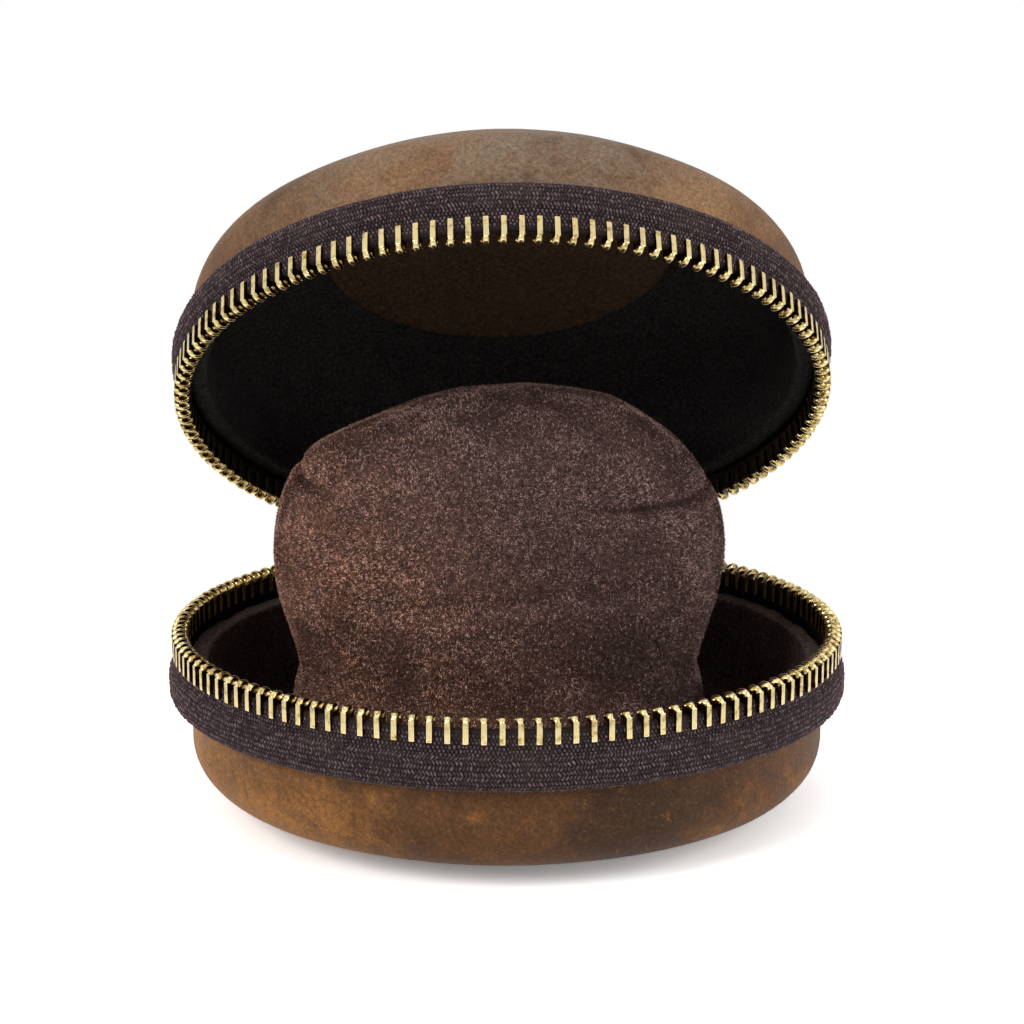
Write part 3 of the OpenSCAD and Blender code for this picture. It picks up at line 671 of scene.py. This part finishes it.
def wave(turns):
    return 0.5 + 0.5 * np.cos(2 * np.pi * turns)


def woven(u, v, random):
    """Height, 0 to 1, of the woven threads at a place u along the tape and v across it: fine cross
    threads by the teeth, then rows of slanted stitches that turn from row to row."""
    line = np.floor(v / FINE_W)
    fine = wave(u / FINE_W + 0.5 * line) * np.abs(np.sin(np.pi * v / FINE_W)) ** 0.6
    row = np.floor((v - FINE_END) / ROW_W)
    inside = (v - FINE_END) / ROW_W - row
    lean = np.where(row % 2 == 0, 1.0, -1.0)
    phase = u / STITCH + lean * inside * 0.8 + 0.37 * row
    stitch = wave(phase) ** 0.8 * np.sin(np.pi * inside) ** 0.5
    blend = np.clip((v - FINE_END + 0.15) / 0.3, 0, 1)
    which = np.where(blend > 0.5, np.floor(phase + 0.5) * 7 + row * 31,
                     np.floor(u / FINE_W + 0.5 * line + 0.5) + 57 * line)
    own = random.rand(4096)[which.astype(int) % 4096]
    height = fine * (1 - blend) + stitch * blend
    return np.where(v < 0, 0.25, height * (0.6 + 0.6 * own))


THREAD_RELIEF, THREAD_LEVEL, LEG_SPAN = 0.34, 0.62, 1.35
WOBBLE, WOBBLE_ALONG, WOBBLE_OVER = 1.6, 0.36, 0.3


def tape_piece(name, form, start, end, seed, body, node):
    """The woven tape from one angle to another, its threads flatter where the teeth clamp it."""
    in_lid = body == "lid"
    section, across = tape_section(*form)
    length = (end - start) * MM_PER_DEG
    count = round(length / ALONG_STEP)
    a = np.radians(np.linspace(start, end, count))
    u = np.linspace(0, length, count)
    along, over = np.broadcast_arrays(u[:, None], across[None])
    wobble = noise(np.stack([along, over, 0 * over], -1), WOBBLE, seed, 2)
    height = woven(along + WOBBLE_ALONG * wobble, over + WOBBLE_OVER * np.roll(wobble, 40, 0),
                   np.random.RandomState(seed))
    under_teeth = np.clip((across - LEG_SPAN) / 0.6, 0, 1)
    depth = np.where(across < 0, 0, THREAD_RELIEF * (0.5 + 0.5 * under_teeth))
    spot = section + closed_normals(section) * ((height - THREAD_LEVEL) * depth)[..., None]
    z = PLANE_Z + (spot[..., 1] if in_lid else -spot[..., 1])
    points = from_front(RING_R + spot[..., 0], a[:, None], z)
    if in_lid:
        points = closed_lid_to_open(points)
    obj = grid_piece(name, points, TAPE, wrap_rows=False, relief=height, strips=3)
    fit_piece(obj, body, node)


def make_tapes():
    tape_piece("lower_tape_woven", (LOWER_INSET, LOWER_FOLD), -LEFT_TAPE_END, RIGHT_TAPE_END, 81,
               "lower_shell", "lower_zip_tape")
    tape_piece("lid_tape_woven", (LID_INSET, LID_FOLD), -LEFT_TAPE_END, LID_TAPE_END, 85,
               "lid", "lid_zip_tape")


# ---------- zip teeth ----------

def block(x, y, z):
    """A box between pairs of limits, as vertices and faces."""
    v = np.array([[i, j, k] for i in x for j in y for k in z], float)
    f = [(0, 1, 3, 2), (4, 6, 7, 5), (0, 4, 5, 1), (2, 3, 7, 6), (0, 2, 6, 4), (1, 5, 7, 3)]
    return v, f


def ball(centre, radii):
    """A closed ellipsoid, as vertices and faces."""
    n = BALL_SIDES
    v = [(0, 0, 1)] + [(math.sin(t) * math.cos(p), math.sin(t) * math.sin(p), math.cos(t))
                       for t in np.linspace(0, math.pi, n // 2 + 1)[1:-1]
                       for p in np.linspace(0, 2 * math.pi, n, endpoint=False)] + [(0, 0, -1)]
    last = len(v) - 1
    f = [(0, 1 + k, 1 + (k + 1) % n) for k in range(n)]
    for m in range(n // 2 - 2):
        f += [(1 + m * n + k, 1 + (m + 1) * n + k, 1 + (m + 1) * n + (k + 1) % n, 1 + m * n + (k + 1) % n)
              for k in range(n)]
    f += [(last, last - 1 - k, last - 1 - (k + 1) % n) for k in range(n)]
    return np.array(v) * radii + centre, f


def joined(parts):
    vertices, faces = [], []
    for v, f in parts:
        base = sum(len(x) for x in vertices)
        vertices.append(v)
        faces += [[base + i for i in face] for face in f]
    return np.concatenate(vertices), faces


BALL_SIDES, TOOTH_SCALE, TOOTH_VOXEL, TOOTH_THINNING = 20, 10, 0.055, 0.085
LEG_T, SLOT_W, NECK_Z, LEG_TOP, LEG_SINK = 0.82, 1.26, -1.5, -0.15, 0.3
HEAD_X, HEAD_R, HEAD_HIGH, HEAD_Z = 0.12, 0.64, 0.72, -0.13
NIB_X, NIB_REACH, NIB_W, NIB_R, NIB_Y = 0.42, 0.96, 0.46, 0.32, -0.2
SOCKET_RADII, SOCKET_MOUTH = (0.48, 0.85, 0.66), 0.2
TOOTH_LEAN = 1.6


def tooth_form():
    """The lumps that one element is fused from, +X along the zip and +Y outwards: two legs that bend
    over into a round head, with a nib on one side."""
    half = TOOTH_W / 2
    legs = [block((-LEG_T / 2, LEG_T / 2), sorted((side * SLOT_W / 2, side * half)),
                  (-TOOTH_LEG_END, -LEG_SINK)) for side in (-1, 1)]
    neck = block((-LEG_T / 2, LEG_T / 2), (-half, half), (NECK_Z, LEG_TOP))
    shoulder = ball((-0.03, -0.02, LEG_TOP), (LEG_T / 2 + 0.02, half - 0.04, 0.6))
    head = ball((HEAD_X, -0.05, HEAD_Z), (HEAD_R, half - 0.06, HEAD_HIGH))
    nib = ball((NIB_X, NIB_Y, -0.05), (NIB_REACH - NIB_X, NIB_W, NIB_R))
    return joined(legs + [neck, shoulder, head, nib])


def tooth_mesh():
    """One cast element with its socket, and how bright each point of it is: lighter where it faces out,
    in or up, partly rubbed wear and partly painted light, and darker on the sides, painted shade.
    """
    v, f = tooth_form()
    obj = new_piece("tooth", v * TOOTH_SCALE, f, BRASS_TEETH)
    add_modifier(obj, "REMESH", mode="VOXEL", voxel_size=TOOTH_VOXEL * TOOTH_SCALE * MM)
    v, f = ball((-LEG_T / 2 - SOCKET_MOUTH, NIB_Y, -0.03), SOCKET_RADII)
    hollow = new_piece("hollow", v * TOOTH_SCALE, f, BRASS_TEETH)
    add_modifier(obj, "BOOLEAN", operation="DIFFERENCE", object=hollow, solver="EXACT")
    add_modifier(obj, "SMOOTH", factor=0.5, iterations=5)
    add_modifier(obj, "DECIMATE", ratio=TOOTH_THINNING)
    apply_modifiers(obj)
    v, f = points_of(obj) / (TOOTH_SCALE * MM), [list(p.vertices) for p in obj.data.polygons]
    facing = normals_of(obj)
    bpy.data.objects.remove(obj)
    bpy.data.objects.remove(hollow)
    # Lighter where a face looks out, in or up, partly rubbed and partly painted light; the sides that face
    # the next teeth stay darker, painted shade
    return v, f, np.clip(1.2 * np.abs(facing[:, 1]) + 0.7 * np.maximum(facing[:, 2], 0) - 0.1, 0, 1)


def on_ring(p, angle):
    """Points drawn at the closing plane, +Y outwards, moved to an angle from the front of the zip."""
    a = math.radians(angle)
    c, s = math.cos(a), math.sin(a)
    r = p[:, 1] + RING_R
    return np.stack([-p[:, 0] * c + r * s, -p[:, 0] * s - r * c, p[:, 2] + PLANE_Z], 1)


def teeth_piece(name, angles, seed, body, node):
    """A row of elements, each leaning a little along the zip as it was clamped on."""
    v, f, lit_and_rubbed = tooth_mesh()
    in_lid = body == "lid"
    random = np.random.RandomState(seed)
    vertices, faces = [], []
    for k, angle in enumerate(angles):
        lean = math.radians(random.uniform(-TOOTH_LEAN, TOOTH_LEAN))
        p = v.copy()
        p[:, 0] += (p[:, 2] - NECK_Z) * math.tan(lean) * np.clip(-p[:, 2] / 3, 0, 1)
        if in_lid:
            p = p * [1, 1, -1]
        p = on_ring(p, angle)
        vertices.append(closed_lid_to_open(p) if in_lid else p)
        step = k * len(v)
        faces += [[i + step for i in (face[::-1] if in_lid else face)] for face in f]
    marks = {"lit_and_rubbed": np.tile(lit_and_rubbed, len(vertices))}
    obj = new_piece(name, np.concatenate(vertices), faces, BRASS_TEETH, marks=marks)
    fit_piece(obj, body, node)


def make_teeth():
    teeth_piece("lower_teeth_cast", [i * PITCH for i in LOWER_TEETH], 91, "lower_shell", "lower_zip_teeth")
    teeth_piece("lid_teeth_cast", [(i + 0.5) * PITCH for i in LID_TEETH], 93, "lid", "lid_zip_teeth")


# ---------- cushion ----------

CUSHION_W, CUSHION_D, CUSHION_SIDE, CUSHION_BACK = 69.4, 56, -1.3, 2
FOOT_Z = SHELL_T + SEAT_GAP
LID_GAP, LID_PRESS = 0.7, 2.1
CUSHION_TOP = PLANE_Z + LID_DEPTH - SHELL_T - LID_GAP + LID_PRESS
SHOULDER_Z, WAIST_Z = PLANE_Z + 11, PLANE_Z - 8
DOME_H, LID_ROOM = CUSHION_TOP - SHOULDER_Z, LID_GAP - LID_PRESS
UPPER_SEAM, LOWER_SEAM = PLANE_Z + 22, FOOT_Z + 6
DOME_POWER, DOME_LIFT, PLAN_POWER, FOOT_SHARE = 3.0, 0.447, 2.6, 0.86
RING_POINTS, FOOT_ROOM = 72, 0.08


def width_share(z):
    """Share of the cushion's full width at a height."""
    foot = np.clip((z - FOOT_Z) / (WAIST_Z - FOOT_Z), 0, 1)
    waist = np.clip((z - WAIST_Z) / (SHOULDER_Z - WAIST_Z), 0, 1)
    dome = np.clip((z - SHOULDER_Z) / DOME_H, 0, 1)
    low = FOOT_SHARE + 0.06 * np.sin(np.pi * foot) + 0.02 * ease(foot)
    middle = FOOT_SHARE + 0.02 + (0.98 - FOOT_SHARE) * ease(waist)
    high = (1 - dome ** (1 / DOME_LIFT)) ** (1 / DOME_POWER)
    return np.where(z < WAIST_Z, low, np.where(z < SHOULDER_Z, middle, high))


def lid_limit(x, y, room):
    """Height that leaves this room under the lining of the shut lid."""
    reach = np.sqrt(np.maximum((LID_BALL_R - SHELL_T - room) ** 2 - x * x - y * y, 1))
    return PLANE_Z + LID_BALL_C + reach


def floor_limit(x, y):
    """Height just above the floor, which rises in a cone towards the wall."""
    slope = math.pi / 2 - lower_tangent()
    edge = FLAT_R + (EDGE_R - SHELL_T) * math.tan(slope / 2)
    return FOOT_Z + FOOT_ROOM + np.maximum(np.hypot(x, y) - edge, 0) * math.tan(slope)


def cushion_rings(smaller):
    """Rings of points from the middle of the foot, up the sides, to the middle of the top."""
    a = np.linspace(0, 2 * np.pi, RING_POINTS, endpoint=False)
    c, s = np.cos(a), np.sin(a)
    plan = (np.abs(c) ** PLAN_POWER + np.abs(s) ** PLAN_POWER) ** (-1 / PLAN_POWER)
    rise = [(share, FOOT_Z) for share in (0.02, 0.3, 0.55, 0.75)]
    rise += [(width_share(z), z) for z in np.linspace(FOOT_Z + 1, SHOULDER_Z, 18)]
    dome = np.sin(np.linspace(0, np.pi / 2, 14)[1:-1])
    rise += [(width_share(z), z) for z in SHOULDER_Z + DOME_H * dome]
    rise += [(share, SHOULDER_Z + DOME_H * (1 - share ** DOME_POWER) ** DOME_LIFT)
             for share in (0.4, 0.25, 0.1, 0.02)]
    rings = []
    for share, z in rise:
        inset = smaller * min(1, share * 2)
        x = (share * CUSHION_W / 2 - inset) * plan * c + CUSHION_SIDE
        y = (share * CUSHION_D / 2 - inset) * plan * s + CUSHION_BACK
        top = lid_limit(x, y, LID_ROOM + smaller)
        rings.append(np.stack([x, y, np.clip(z, floor_limit(x, y) + smaller, top)], 1))
    return np.array(rings)


SIM_SCALE, SIM_FRAMES = 10, 20
COVER_SLACK, COVER_VOXEL, PUFF_CAP = 0.5, 1.7, 1.8


def closed_rings(name, rings, scale):
    """A mesh over rings of points, with a fan of faces over the first and the last."""
    m, n = rings.shape[:2]
    v = np.concatenate([rings.reshape(-1, 3), [rings[0].mean(0)], [rings[-1].mean(0)]])
    f = [(j * n + i, j * n + (i + 1) % n, (j + 1) * n + (i + 1) % n, (j + 1) * n + i)
         for j in range(m - 1) for i in range(n)]
    f += [(m * n, (i + 1) % n, i) for i in range(n)]
    f += [(m * n + 1, (m - 1) * n + i, (m - 1) * n + (i + 1) % n) for i in range(n)]
    return new_piece(name, v * scale, f, SUEDE)


def puff(obj):
    """Blows the shape up like a stuffed cover, its seams held, and caps how far a point may move."""
    rest = points_of(obj)
    group = obj.vertex_groups.new(name="held")
    for k, w in enumerate(seam_hold(rest / (MM * SIM_SCALE))):
        group.add([k], float(w), "REPLACE")
    cloth = add_modifier(obj, "CLOTH")
    s = cloth.settings
    s.quality, s.mass = 6, 0.3
    s.tension_stiffness = s.compression_stiffness = 22
    s.shear_stiffness, s.bending_stiffness = 8, 0.9
    s.use_pressure, s.uniform_pressure_force = True, 4
    s.effector_weights.gravity = 0
    s.vertex_group_mass = "held"
    cloth.collision_settings.use_collision = False
    scene = bpy.context.scene
    for f in range(1, SIM_FRAMES + 1):
        scene.frame_set(f)
        bpy.context.view_layer.update()
    apply_modifiers(obj)
    scene.frame_set(1)
    step = points_of(obj) - rest
    length = np.linalg.norm(step, axis=1)
    step *= np.minimum(1, PUFF_CAP * MM * SIM_SCALE / np.maximum(length, TINY))[:, None]
    set_points(obj, rest + step)


def seam_hold(p):
    """Share by which each point of the cover is held: wholly at the seams and at the foot."""
    near = [np.clip(1.6 - np.abs(p[:, 2] - z), 0, 1) for z in (UPPER_SEAM, LOWER_SEAM)]
    foot = np.clip((LOWER_SEAM - 2 - p[:, 2]) / 2, 0, 1)
    return np.clip(near[0] + near[1] + foot, 0, 1)


def seam_depth(p):
    """How deep the upper seam's groove is at points in millimetres: it puckers at the corners."""
    x, _, z = p.T
    pucker = np.clip((x - 8) / 10, 0, 1) + 1.4 * np.clip((-x - 26) / 5, 0, 1)
    return (0.15 + 1.1 * pucker) * np.exp(-((z - UPPER_SEAM - 0.8 + 0.035 * x) / 0.65) ** 2)


def shape_cushion(p, normal):
    """Seams, the loose folds and the lean that the photographed cushion has, on points in millimetres."""
    high = ease(np.clip((p[:, 2] - SHOULDER_Z) / DOME_H, 0, 1))
    moved = p.copy()
    moved[:, 0] += 3.0 * high * np.clip(1 - np.abs(p[:, 0]) / 30, 0, 1)
    droop = 2.2 * ease(np.clip((-p[:, 0] - 8) / 20, 0, 1)) + 2.0 * ease(np.clip((p[:, 0] - 12) / 14, 0, 1))
    moved[:, 2] -= droop * high
    x, y, z = moved.T
    front = np.clip(-(y - CUSHION_BACK) / (CUSHION_D / 2), 0, 1)
    low_seam = 0.6 * np.exp(-((z - LOWER_SEAM) / 0.8) ** 2)
    fold = 0.7 * np.exp(-((z - (PLANE_Z + 9 + 1.2 * np.sin(x / 8))) / 1.6) ** 2) * front
    dent = 1.1 * np.exp(-((x - 8) / 4.5) ** 2 - ((z - PLANE_Z - 26) / 2.2) ** 2) * front
    out = 0.5 * noise(moved, 12, 101, 2) - seam_depth(moved) - low_seam - fold - dent
    return moved + normal * out[:, None]


def nap_bumps(p, seed):
    return 0.13 * noise(p, 0.7, seed, 2) + 0.05 * noise(p, 2.4, seed + 4)


NAP_ROOM = 0.3


def keep_inside(p):
    """Keeps the cover above the floor, and leaves room for its nap under the pressed lid."""
    x, y = p[:, 0], p[:, 1]
    p[:, 2] = np.clip(p[:, 2], floor_limit(x, y), lid_limit(x, y, LID_ROOM + NAP_ROOM))
    return p


def make_cushion():
    smaller = COVER_SLACK
    obj = closed_rings("cushion_cover", cushion_rings(smaller), SIM_SCALE)
    add_modifier(obj, "REMESH", mode="VOXEL", voxel_size=COVER_VOXEL * SIM_SCALE * MM)
    apply_modifiers(obj)
    puff(obj)
    add_modifier(obj, "SUBSURF", levels=2, render_levels=2)
    apply_modifiers(obj)
    set_points(obj, points_of(obj) / SIM_SCALE)
    p = keep_inside(shape_cushion(points_of(obj) / MM, normals_of(obj)))
    set_points(obj, p * MM)
    p = keep_inside(p + normals_of(obj) * nap_bumps(p, 111)[:, None])
    set_points(obj, p * MM)
    obj.data.shade_smooth()
    if not obj.data.materials:
        obj.data.materials.append(SUEDE)
    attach(obj, "lower_shell")
    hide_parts("cushion_top", "cushion_band", "cushion_base", "cushion_filling")
    return obj


def press_under_lid(obj):
    """Gives a piece its own copy of its mesh."""
    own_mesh(obj)


FLAKES = 190000
FLAKE_L, FLAKE_W, FLAKE_SINK, TUFT, TUFT_SEED = 0.38, 0.17, 0.05, 0.3, 141


def nap_roots(cushion, random):
    """Where the fibres stand, close together in tufts and on the skin that is seen from the front,
    with the skin's direction there and how deep in a tuft each is."""
    mesh = cushion.data
    mesh.calc_loop_triangles()
    tris = np.empty(len(mesh.loop_triangles) * 3, np.int32)
    mesh.loop_triangles.foreach_get("vertices", tris)
    tris = tris.reshape(-1, 3)
    p, n = points_of(cushion) / MM, normals_of(cushion)
    a, b, c = (p[tris[:, k]] for k in range(3))
    area = np.linalg.norm(np.cross(b - a, c - a), axis=1) / 2
    chance = area * np.clip((a[:, 2] - LOWER_SEAM) / 6, 0, 1) * np.clip(1.3 - a[:, 1] / 30, 0.35, 1)
    tries = 2 * FLAKES
    pick = random.choice(len(tris), tries, p=chance / chance.sum())
    w = random.dirichlet((1, 1, 1), tries)
    root = sum(w[:, k, None] * p[tris[pick, k]] for k in range(3))
    tuft = noise(root, TUFT, TUFT_SEED)
    keep = np.argsort(-tuft - 1.8 * random.rand(tries))[:FLAKES]
    up = sum(w[keep, k, None] * n[tris[pick[keep], k]] for k in range(3))
    return root[keep], unit(up), tuft[keep]


def make_nap(cushion):
    """The suede's short fibres, one sliver each, brushed one way here and another way there."""
    random = np.random.RandomState(121)
    root, up, tuft = nap_roots(cushion, random)
    brushed = np.stack([noise(root, 5, 123 + k, 2) for k in range(3)], 1)
    lean = random.normal(size=(FLAKES, 3)) * 0.6 + 1.2 * brushed
    lean = unit(lean - up * np.sum(lean * up, 1)[:, None])
    size = FLAKE_L * random.uniform(0.6, 1.3, FLAKES)[:, None]
    tip = root + size * (random.uniform(0.3, 0.7, FLAKES)[:, None] * up + 0.8 * lean)
    tip[:, 2] = np.minimum(tip[:, 2], lid_limit(tip[:, 0], tip[:, 1], LID_ROOM))
    wide = np.cross(up, lean) * FLAKE_W / 2
    foot = root - FLAKE_SINK * up
    v = np.stack([foot - wide, foot + wide, tip], 1).reshape(-1, 3)
    faces = np.arange(FLAKES * 3).reshape(-1, 3).tolist()
    # Fibres down in the upper seam's groove are darker: painted shade
    tone = 0.44 + 0.15 * random.normal(size=FLAKES) + 0.36 * tuft - 0.4 * seam_depth(root)
    obj = new_piece("cushion_nap", v, faces, NAP, marks={"fibre_tone": np.repeat(np.clip(tone, 0, 1), 3)})
    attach(obj, "lower_shell")
    return obj


# ---------- hinge strips ----------

SPINE_W, SPINE_T, SPINE_OUT, SPINE_SPAN, SPINE_BEND = 32, 1.2, 0.15, (-15, 13.5), (-6.5, 1.5)
GUSSET_W, GUSSET_T, GUSSET_OUT, GUSSET_SPAN, GUSSET_BEND = 34, 0.5, -SHELL_T - 0.65, (-12, 12), (-3.8, 3.8)
STEP_EARLY, ACROSS_STEP, UP_STEP, BLEND_LOW, BLEND_HIGH = 1.5, 0.5, 0.4, -3, 1.5
EDGE_ROUND, SEAM_IN, SEAM_W, RIB_PITCH = 0.45, 2.2, 0.35, 2.4


def strip_share(z, bend):
    return ease(np.clip((z - bend[0]) / (bend[1] - bend[0]), 0, 1))


def strip_points(width, t, out, span, bend, bumps):
    """A strip on the back of both shells, as a grid of points: made with the lid shut, then bent to
    where the lid stands open. out is how far it lies outside the shells' walls."""
    half = width / 2 / RING_R
    across = np.linspace(-half, half, round(width / ACROSS_STEP))
    z = np.linspace(span[0], span[1], round((span[1] - span[0]) / UP_STEP))
    side = np.concatenate([np.ones(len(across)), np.zeros(len(across))])
    a = np.concatenate([across, across[::-1]])

    def place(r):
        return np.stack([r * np.sin(a), r * np.cos(a), PLANE_Z + z[:, None] + 0 * a], -1)

    shift = strip_share(z + STEP_EARLY, bend)[:, None]
    r = LOWER_WALL_R + out + (LID_WALL_R - LOWER_WALL_R) * shift + side * t
    edge = np.minimum(np.abs(a) - half, 0) * -RING_R
    flat = place(r + bumps(place(r), side, edge, z))
    return closed_lid_to_open(flat, LID_OPEN * strip_share(z, bend)[:, None])


def spine_bumps(p, side, edge, z):
    """Rounded edges all round, and the groove of a seam along both sides."""
    end = np.minimum(z - SPINE_SPAN[0], SPINE_SPAN[1] - z)[:, None]
    rim = 0.45 * np.exp(-edge / EDGE_ROUND) + 0.35 * np.exp(-end / EDGE_ROUND)
    groove = 0.16 * np.exp(-((edge - SEAM_IN) / SEAM_W) ** 2)
    return side * (0.05 * noise(p, 6, 131, 2) - rim - groove)


def gusset_bumps(p, side, edge, z):
    """Shallow ribs across the cloth, on the side that is seen inside the case."""
    ribs = 0.10 * np.abs(np.cos(2 * np.pi * z / RIB_PITCH))[:, None]
    return (1 - side) * (0.06 * noise(p, 4, 133) - ribs)


def make_hinge():
    for node, strip, material, slot in (
            ("hinge_spine", (SPINE_W, SPINE_T, SPINE_OUT, SPINE_SPAN, SPINE_BEND, spine_bumps),
             LEATHER_SPINE, "spine_leather"),
            ("hinge_gusset", (GUSSET_W, GUSSET_T, GUSSET_OUT, GUSSET_SPAN, GUSSET_BEND, gusset_bumps),
             LINING, "lining")):
        obj = grid_piece(node + "_dressed", strip_points(*strip), material, wrap_rows=False)
        blend_at_hinge(obj)
        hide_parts(node)


def blend_at_hinge(obj):
    """Puts a piece's placement into its mesh."""
    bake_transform(obj)


# ---------- metal parts and board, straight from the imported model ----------

SLIDER_ROUND, STOP_ROUND = 0.16, 0.14
NODE_MERGE = 1e-6  # in metres: joins points in the same place, so that the edges can be rounded


def finish_node(name, material, bevel):
    obj = frame["nodes"][name]
    obj.data.materials.clear()
    obj.data.materials.append(material)
    if bevel:
        add_modifier(obj, "WELD", merge_threshold=NODE_MERGE)
        add_modifier(obj, "BEVEL", width=bevel * MM, segments=3, limit_method="ANGLE",
                     angle_limit=math.radians(32), harden_normals=True)


def finish_nodes():
    for material, bevel, names in (
            (BRASS, SLIDER_ROUND, ("slider_body", "slider_bar", "pull_tab")),
            (BRASS, STOP_ROUND, ("lower_zip_stops", "lid_zip_stops")),
            (BOARD, None, ("lower_core", "lid_core"))):
        for name in names:
            finish_node(name, material, bevel)


# ---------- studio ----------

WORLD_LIGHT = 0.48
FLOOR_LIT, FLOOR_SHOWN, FLOOR_LIFT = 0.78, 0.95, 0.14
FLOOR_HALF, FLOOR_DROP = 3000, 0.05
SHADOW_END, WHITE_START = 80 * MM, 130 * MM


def grey(level):
    return (level, level, level, 1)


def camera_ray(tree):
    """1 where a ray comes from the camera, a mirror or glass, so that they see the white ground."""
    rays = add_node(tree, "LightPath").outputs
    total = rays["Is Camera Ray"]
    for other in ("Is Glossy Ray", "Is Transmission Ray"):
        total = add_node(tree, "Math", {0: total, 1: rays[other]}, operation="ADD", use_clamp=True).outputs[0]
    return total


def make_world():
    world = bpy.data.worlds.new("Studio")
    bpy.context.scene.world = world
    world.use_nodes = True
    tree = world.node_tree
    tree.nodes.clear()
    seen, lit = (add_node(tree, "Background", {"Color": grey(1), "Strength": strength}).outputs[0]
                 for strength in (1.0, WORLD_LIGHT))
    mix = add_node(tree, "MixShader", {0: camera_ray(tree), 1: lit, 2: seen})
    add_node(tree, "OutputWorld", {0: mix.outputs[0]})


def make_floor():
    corners = np.array([[-1, -1, 0], [1, -1, 0], [1, 1, 0], [-1, 1, 0]]) * FLOOR_HALF
    floor = new_piece("studio_floor", corners, [(0, 1, 2, 3)], floor_material())
    floor.location.z = -FLOOR_DROP * MM


def floor_material():
    """White ground: seen by the camera it holds only the soft shadow, and far off it is plain white."""
    s = Shader("Floor", Base_Color=grey(FLOOR_LIT), Roughness=0.9, Specular_IOR_Level=0.0)
    shown = s.node("BsdfDiffuse", {"Color": grey(FLOOR_SHOWN)}).outputs[0]
    twice = s.node("AddShader", {0: shown, 1: shown}).outputs[0]
    lift, white = (s.node("Emission", {"Strength": level}).outputs[0] for level in (FLOOR_LIFT, 1.0))
    near = s.node("AddShader", {0: twice, 1: lift}).outputs[0]
    away = s.node("VectorMath", {0: s.place}, operation="LENGTH").outputs["Value"]
    seen = s.node("MixShader", {0: s.spread(away, SHADOW_END, WHITE_START), 1: near, 2: white}).outputs[0]
    both = s.node("MixShader", {0: camera_ray(s.tree), 1: s.surface.outputs[0], 2: seen}).outputs[0]
    s.tree.links.new(both, s.tree.nodes["Material Output"].inputs["Surface"])
    return s.material


def aim_from(obj, place, direction):
    obj.location = place
    obj.rotation_euler = direction.to_track_quat("-Z", "Y").to_euler()


def area_light(name, place, aim, width, power):
    light = bpy.data.lights.new(name, "AREA")
    light.shape, light.size, light.energy = "DISK", width, power
    aim_from(new_object(name, light), Vector(place), Vector(aim) - Vector(place))


def make_studio():
    make_world()
    make_floor()
    area_light("Key", (-0.6, -0.6, 0.55), (0, 0, 0.04), 0.5, 4.4)
    area_light("Fill", (0.65, -0.4, 0.35), (0, 0, 0.04), 0.6, 2.7)
    area_light("Top", (0, 0.15, 0.9), (0, 0, 0.05), 0.7, 0.8)


CAMERA_TARGET = Vector((0.8, 0, 44.14)) * MM
CAMERA_DISTANCE, CAMERA_YAW, CAMERA_ELEVATION = 0.4, -0.04, 0.232
CAMERA_LENS, CAMERA_SENSOR = 92.27, 36


def make_camera():
    data = bpy.data.cameras.new("Camera")
    data.lens, data.sensor_width, data.clip_start, data.clip_end = CAMERA_LENS, CAMERA_SENSOR, 0.01, 20
    camera = new_object("Camera", data)
    level = math.cos(CAMERA_ELEVATION)
    back = Vector((math.sin(CAMERA_YAW) * level, -math.cos(CAMERA_YAW) * level, math.sin(CAMERA_ELEVATION)))
    aim_from(camera, CAMERA_TARGET + back * CAMERA_DISTANCE, -back)
    bpy.context.scene.camera = camera
    bpy.context.scene.view_settings.view_transform = "Standard"


make_camera()
make_studio()
finish_nodes()
make_shells()
make_linings()
make_tapes()
make_teeth()
make_hinge()
cushion = make_cushion()
nap = make_nap(cushion)
press_under_lid(cushion)
press_under_lid(nap)
